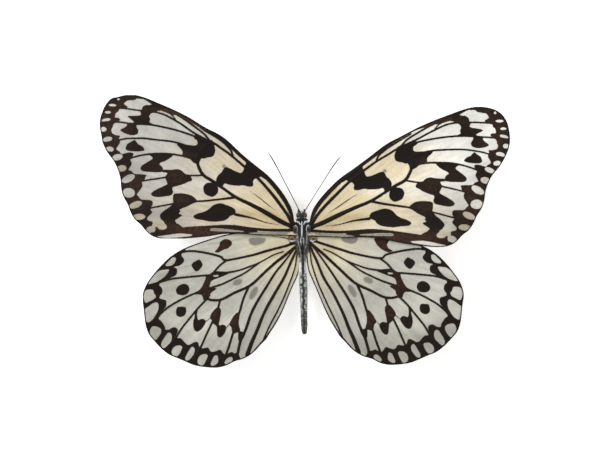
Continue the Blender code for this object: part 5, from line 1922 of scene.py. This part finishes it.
@dataclass
class Plates:
    """The furred plates over the wing hinges, and the lobes of the neck's collar."""

    finish: Material
    shoulder: Point = (2.7, -2.4, 9.05)
    left_shoulder: Point = (-3.95, -2.4, 9.05)
    shoulder_half: Point = (1.45, 1.15, 0.28)
    collar: Shape = (
        (1.0, 5.28, 0.15, 0.92, 0.42, 0.72, 0, -2.0),
        (1.12, 4.46, 0.72, 0.74, 0.34, 0.42, 36, 1.0),
        (0.86, 6.0, 0.56, 0.3, 0.26, 0.26, 0, 1.0),
    )  # for each lobe: right, along, up, half its sizes, its turn in degrees, how white
    turns: int = 44
    rings: int = 34

    def build(self) -> None:
        """Builds the plates and lobes of both sides."""
        for make in (self.tegula, self.collar_lobes, self.hindwing_shoulder):
            for side in Side:
                make(side)

    def tegula(self, side: Side) -> None:
        """Builds the plate over a forewing's hinge in place of its node.

        Args:
            side: The side of the body.
        """
        low, high = node_box(f"tegula_{side.label}")
        piece, points, share = self.plate(f"tegula_plate_{side.label}", (low + high) / 2,
                                          (high - low) / 2 - 0.05)
        rim = 0.09 - np.abs(np.hypot(share[:, 0], share[:, 1]) - 0.93)
        white = np.where(share[:, 0] * side.value < 0.2, rim, -FAR)
        mark(piece, **{**BARE, "white": white, "grey": 0.5 * fade(share[:, 1], 0.1, 0.9)})
        settle(piece, "body", f"tegula_{side.label}")
        self.cover(f"tegula_hair_{side.label}", side, points, share, 0.3, shine=0.3)

    def hindwing_shoulder(self, side: Side) -> None:
        """Builds the plate before a hindwing's root: tan, with a dark dot and a white end.

        Args:
            side: The side of the body.
        """
        middle = self.left_shoulder if side is Side.LEFT else self.shoulder
        piece, points, share = self.plate(f"shoulder_plate_{side.label}", np.array(middle),
                                          np.array(self.shoulder_half))
        dot = np.hypot((share[:, 0] - 0.1 * side.value) / 0.42, (share[:, 1] + 0.15) / 0.3)
        away = np.hypot(share[:, 0], share[:, 1])
        mark(piece, white=np.where(share[:, 1] < 0.2, 0.5 * (-0.62 - share[:, 1]), -FAR),
             tan=fade(share[:, 1], -0.5, -0.2), olive=0.0,
             grey=1.3 * fade(dot, 0.8, 1.25) * (1 - 0.9 * fade(away, 0.85, 1.0)))
        settle(piece, "body")
        self.cover(f"shoulder_hair_{side.label}", side, points, share, 0.26, 0.6)

    def collar_lobes(self, side: Side) -> None:
        """Builds the lobes of the neck's collar and the white spot behind the eye.

        Args:
            side: The side of the body.
        """
        for number, (right, along, up, *half, turn, white) in enumerate(self.collar):
            piece, points, share = self.plate(
                f"collar_lobe_{number}_{side.label}", body_point(side.value * right, along, up),
                np.array(half), BODY_YAW + side.value * math.radians(turn))
            mark(piece, **{**BARE, "white": white})
            settle(piece, "body")
            self.cover(f"collar_hair_{number}_{side.label}", side, points, share, 0.24,
                       shine=max(0.0, 1.3 * white), count=160)

    def plate(self, name: str, middle: Array, half: Array,
              yaw: float = 0.0) -> tuple[Piece, Array, Array]:
        """Makes an egg-shaped plate whose poles lie to the front and the back.

        Args:
            name: Its name.
            middle: Its middle.
            half: Half its size along each axis.
            yaw: How far it is turned in plan, in radians.

        Returns:
            The plate, its points, and the same points as shares of its half size.
        """
        rows = np.linspace(0.03, math.pi - 0.03, self.rings)
        ahead = half[1] * np.array([-math.sin(yaw), math.cos(yaw), 0.0])
        points, faces = tube(middle - np.outer(np.cos(rows), ahead), np.sin(rows) * half[0],
                             self.turns, half[2] / half[0])
        return make_piece(name, points, faces, self.finish), points, (points - middle) / half

    def cover(self, name: str, side: Side, points: Array, share: Array, length: float,
              tan: float = 0.0, shine: float = 1.0, count: int = 420) -> None:
        """Covers a plate's top with short hair that lies back and out.

        Args:
            name: The hair's name.
            side: The side of the body.
            points: The plate's points.
            share: The same points as shares of its half size.
            length: The hair's length.
            tan: How tan it is.
            shine: How much of it is pale.
            count: How many hairs there are.
        """
        draw = np.random.default_rng(17)
        picked = draw.choice(np.flatnonzero(share[:, 2] > 0.1), count)
        lies = np.array([0.4 * side.value, -1.0, 0.02]) + 0.2 * share[picked]
        grey = shine * fade(draw.uniform(0, 1, count), 0.35, 0.9)
        Strands(points[picked], lies, length).grow(name, "body", self.finish, 0.018, 0.2, 8,
                                                   **{**BARE, "tan": tan, "grey": grey})


@dataclass
class Studio:
    """The pale floor, the soft lights and the camera above."""

    look_at: tuple[float, float] = (0.43, 0.48)
    camera_height: float = 660.0
    sensor: float = 36.0
    view_width: float = 194.3
    view_level: float = 12.0
    floor_span: float = 6000.0

    def floor(self) -> None:
        """Lays the floor."""
        half = self.floor_span / 2
        tree = Surface("studio_floor")
        cloud = tree.blend(tree.noise(tree.place, 0.004, 2), srgb(246, 246, 246),
                           srgb(250, 250, 250))
        finish = tree.finish(cloud, 0.9, Specular_IOR_Level=0.1, Emission_Color=(1, 1, 1, 1),
                             Emission_Strength=0.45)
        corners = [(-half, -half, 0), (half, -half, 0), (half, half, 0), (-half, half, 0)]
        make_piece("studio_floor", corners, [(0, 1, 2, 3)], finish)

    def lamp(self, name: str, place: Point, size: float, power: float) -> None:
        """Hangs a soft square lamp that faces the butterfly.

        Args:
            name: Its name.
            place: Where it hangs.
            size: The length of its side.
            power: Its power in watts.
        """
        light = bpy.data.lights.new(name, "AREA")
        light.shape, light.size, light.energy = "SQUARE", size * MM, power
        lamp = new_object(name, light)
        lamp.location = Vector(place) * MM
        lamp.rotation_euler = (-lamp.location).to_track_quat("-Z", "Y").to_euler()

    def camera(self) -> None:
        """Sets the camera straight above, with the head to the top of the picture."""
        lens = bpy.data.cameras.new("camera")
        lens.sensor_width = self.sensor
        lens.lens = self.sensor * (self.camera_height - self.view_level) / self.view_width
        lens.clip_start = 0.01
        camera = new_object("camera", lens)
        camera.location = Vector((*self.look_at, self.camera_height)) * MM
        bpy.context.scene.camera = camera

    def build(self) -> None:
        """Sets up the whole studio."""
        scene = bpy.context.scene
        scene.view_settings.view_transform = "Standard"
        scene.world = bpy.data.worlds.new("studio")
        scene.world.use_nodes = True
        sky = scene.world.node_tree.nodes["Background"]
        sky.inputs["Color"].default_value = (1, 1, 1, 1)
        sky.inputs["Strength"].default_value = 0.52
        self.floor()
        self.lamp("key", (-520, 260, 620), 420, 4.6)
        self.lamp("fill", (480, -120, 640), 500, 1.2)
        self.camera()


def main() -> None:
    """Builds every piece of the butterfly in order."""
    logging.basicConfig(level=logging.INFO, format="%(name)s: %(message)s")
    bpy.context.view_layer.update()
    Studio().build()
    fore = WingFinish("forewing_scales", srgb(240, 238, 230), srgb(228, 211, 174),
                      srgb(190, 171, 131), srgb(160, 156, 149), 1.08).material()
    hind = WingFinish("hindwing_scales", srgb(206, 203, 193), srgb(220, 211, 181),
                      srgb(176, 146, 104), srgb(168, 166, 155), 1.12, srgb(21, 14, 10),
                      srgb(55, 37, 25)).material()
    fore_plan = WingPlan("forewing", 9.75, FOREWING_OUTLINE, FOREWING_VEINS, FOREWING_MARKS)
    hind_plan = WingPlan("hindwing", 8.5, HINDWING_OUTLINE, HINDWING_VEINS, HINDWING_MARKS)
    # The shade areas, after the moves or given as shade=, are painted shade that greys parts of
    # each wing.
    Wing(fore_plan, Side.LEFT, fore, (-2.5, 0.7), math.radians(3.8), LEFT_FOREWING_MOVES,
         ((48, 20, 26, 30, 0.8), (42, 2, 20, 9, 0.8)), (LEFT_FOREWING_COSTA,)).build()
    Wing(fore_plan, Side.RIGHT, fore, (0.59, 0.64), shade=((47, 4, 14, 10, 0.5),)).build()
    Wing(hind_plan, Side.LEFT, hind, (-1.83, -3.75), 0.0, LEFT_HINDWING_MOVES,
         ((42, -16, 11, 15, 0.55),), (HINDWING_COSTAL_PATCH[Side.LEFT],)).build()
    Wing(hind_plan, Side.RIGHT, hind, (1.06, -2.86), shade=((34, -34, 16, 9, 0.6),),
         own_dark=(HINDWING_COSTAL_PATCH[Side.RIGHT],)).build()
    body = BodySkin()
    skin = body.build(SkinFinish("body_scales").material())
    hair = SkinFinish("body_hair", grain=0.0).material()
    BodyCoat().build(skin, hair)
    Mane().build(body, hair)
    Plates(hair).build()
    Eyes().build(EyeFinish().material())
    Feelers().build(HornFinish("feeler_horn", srgb(16, 13, 12), srgb(120, 116, 110),
                               0.2).material())
    mouth = Mouthparts()
    mouth.palps(hair)
    mouth.tongue(HornFinish("tongue_horn", srgb(52, 33, 22), srgb(104, 76, 52), 0.2,
                            0.32).material())
    Legs().build(HornFinish("leg_horn", srgb(30, 26, 24), srgb(158, 155, 147), 0.5).material())


if __name__ == "__main__":
    main()
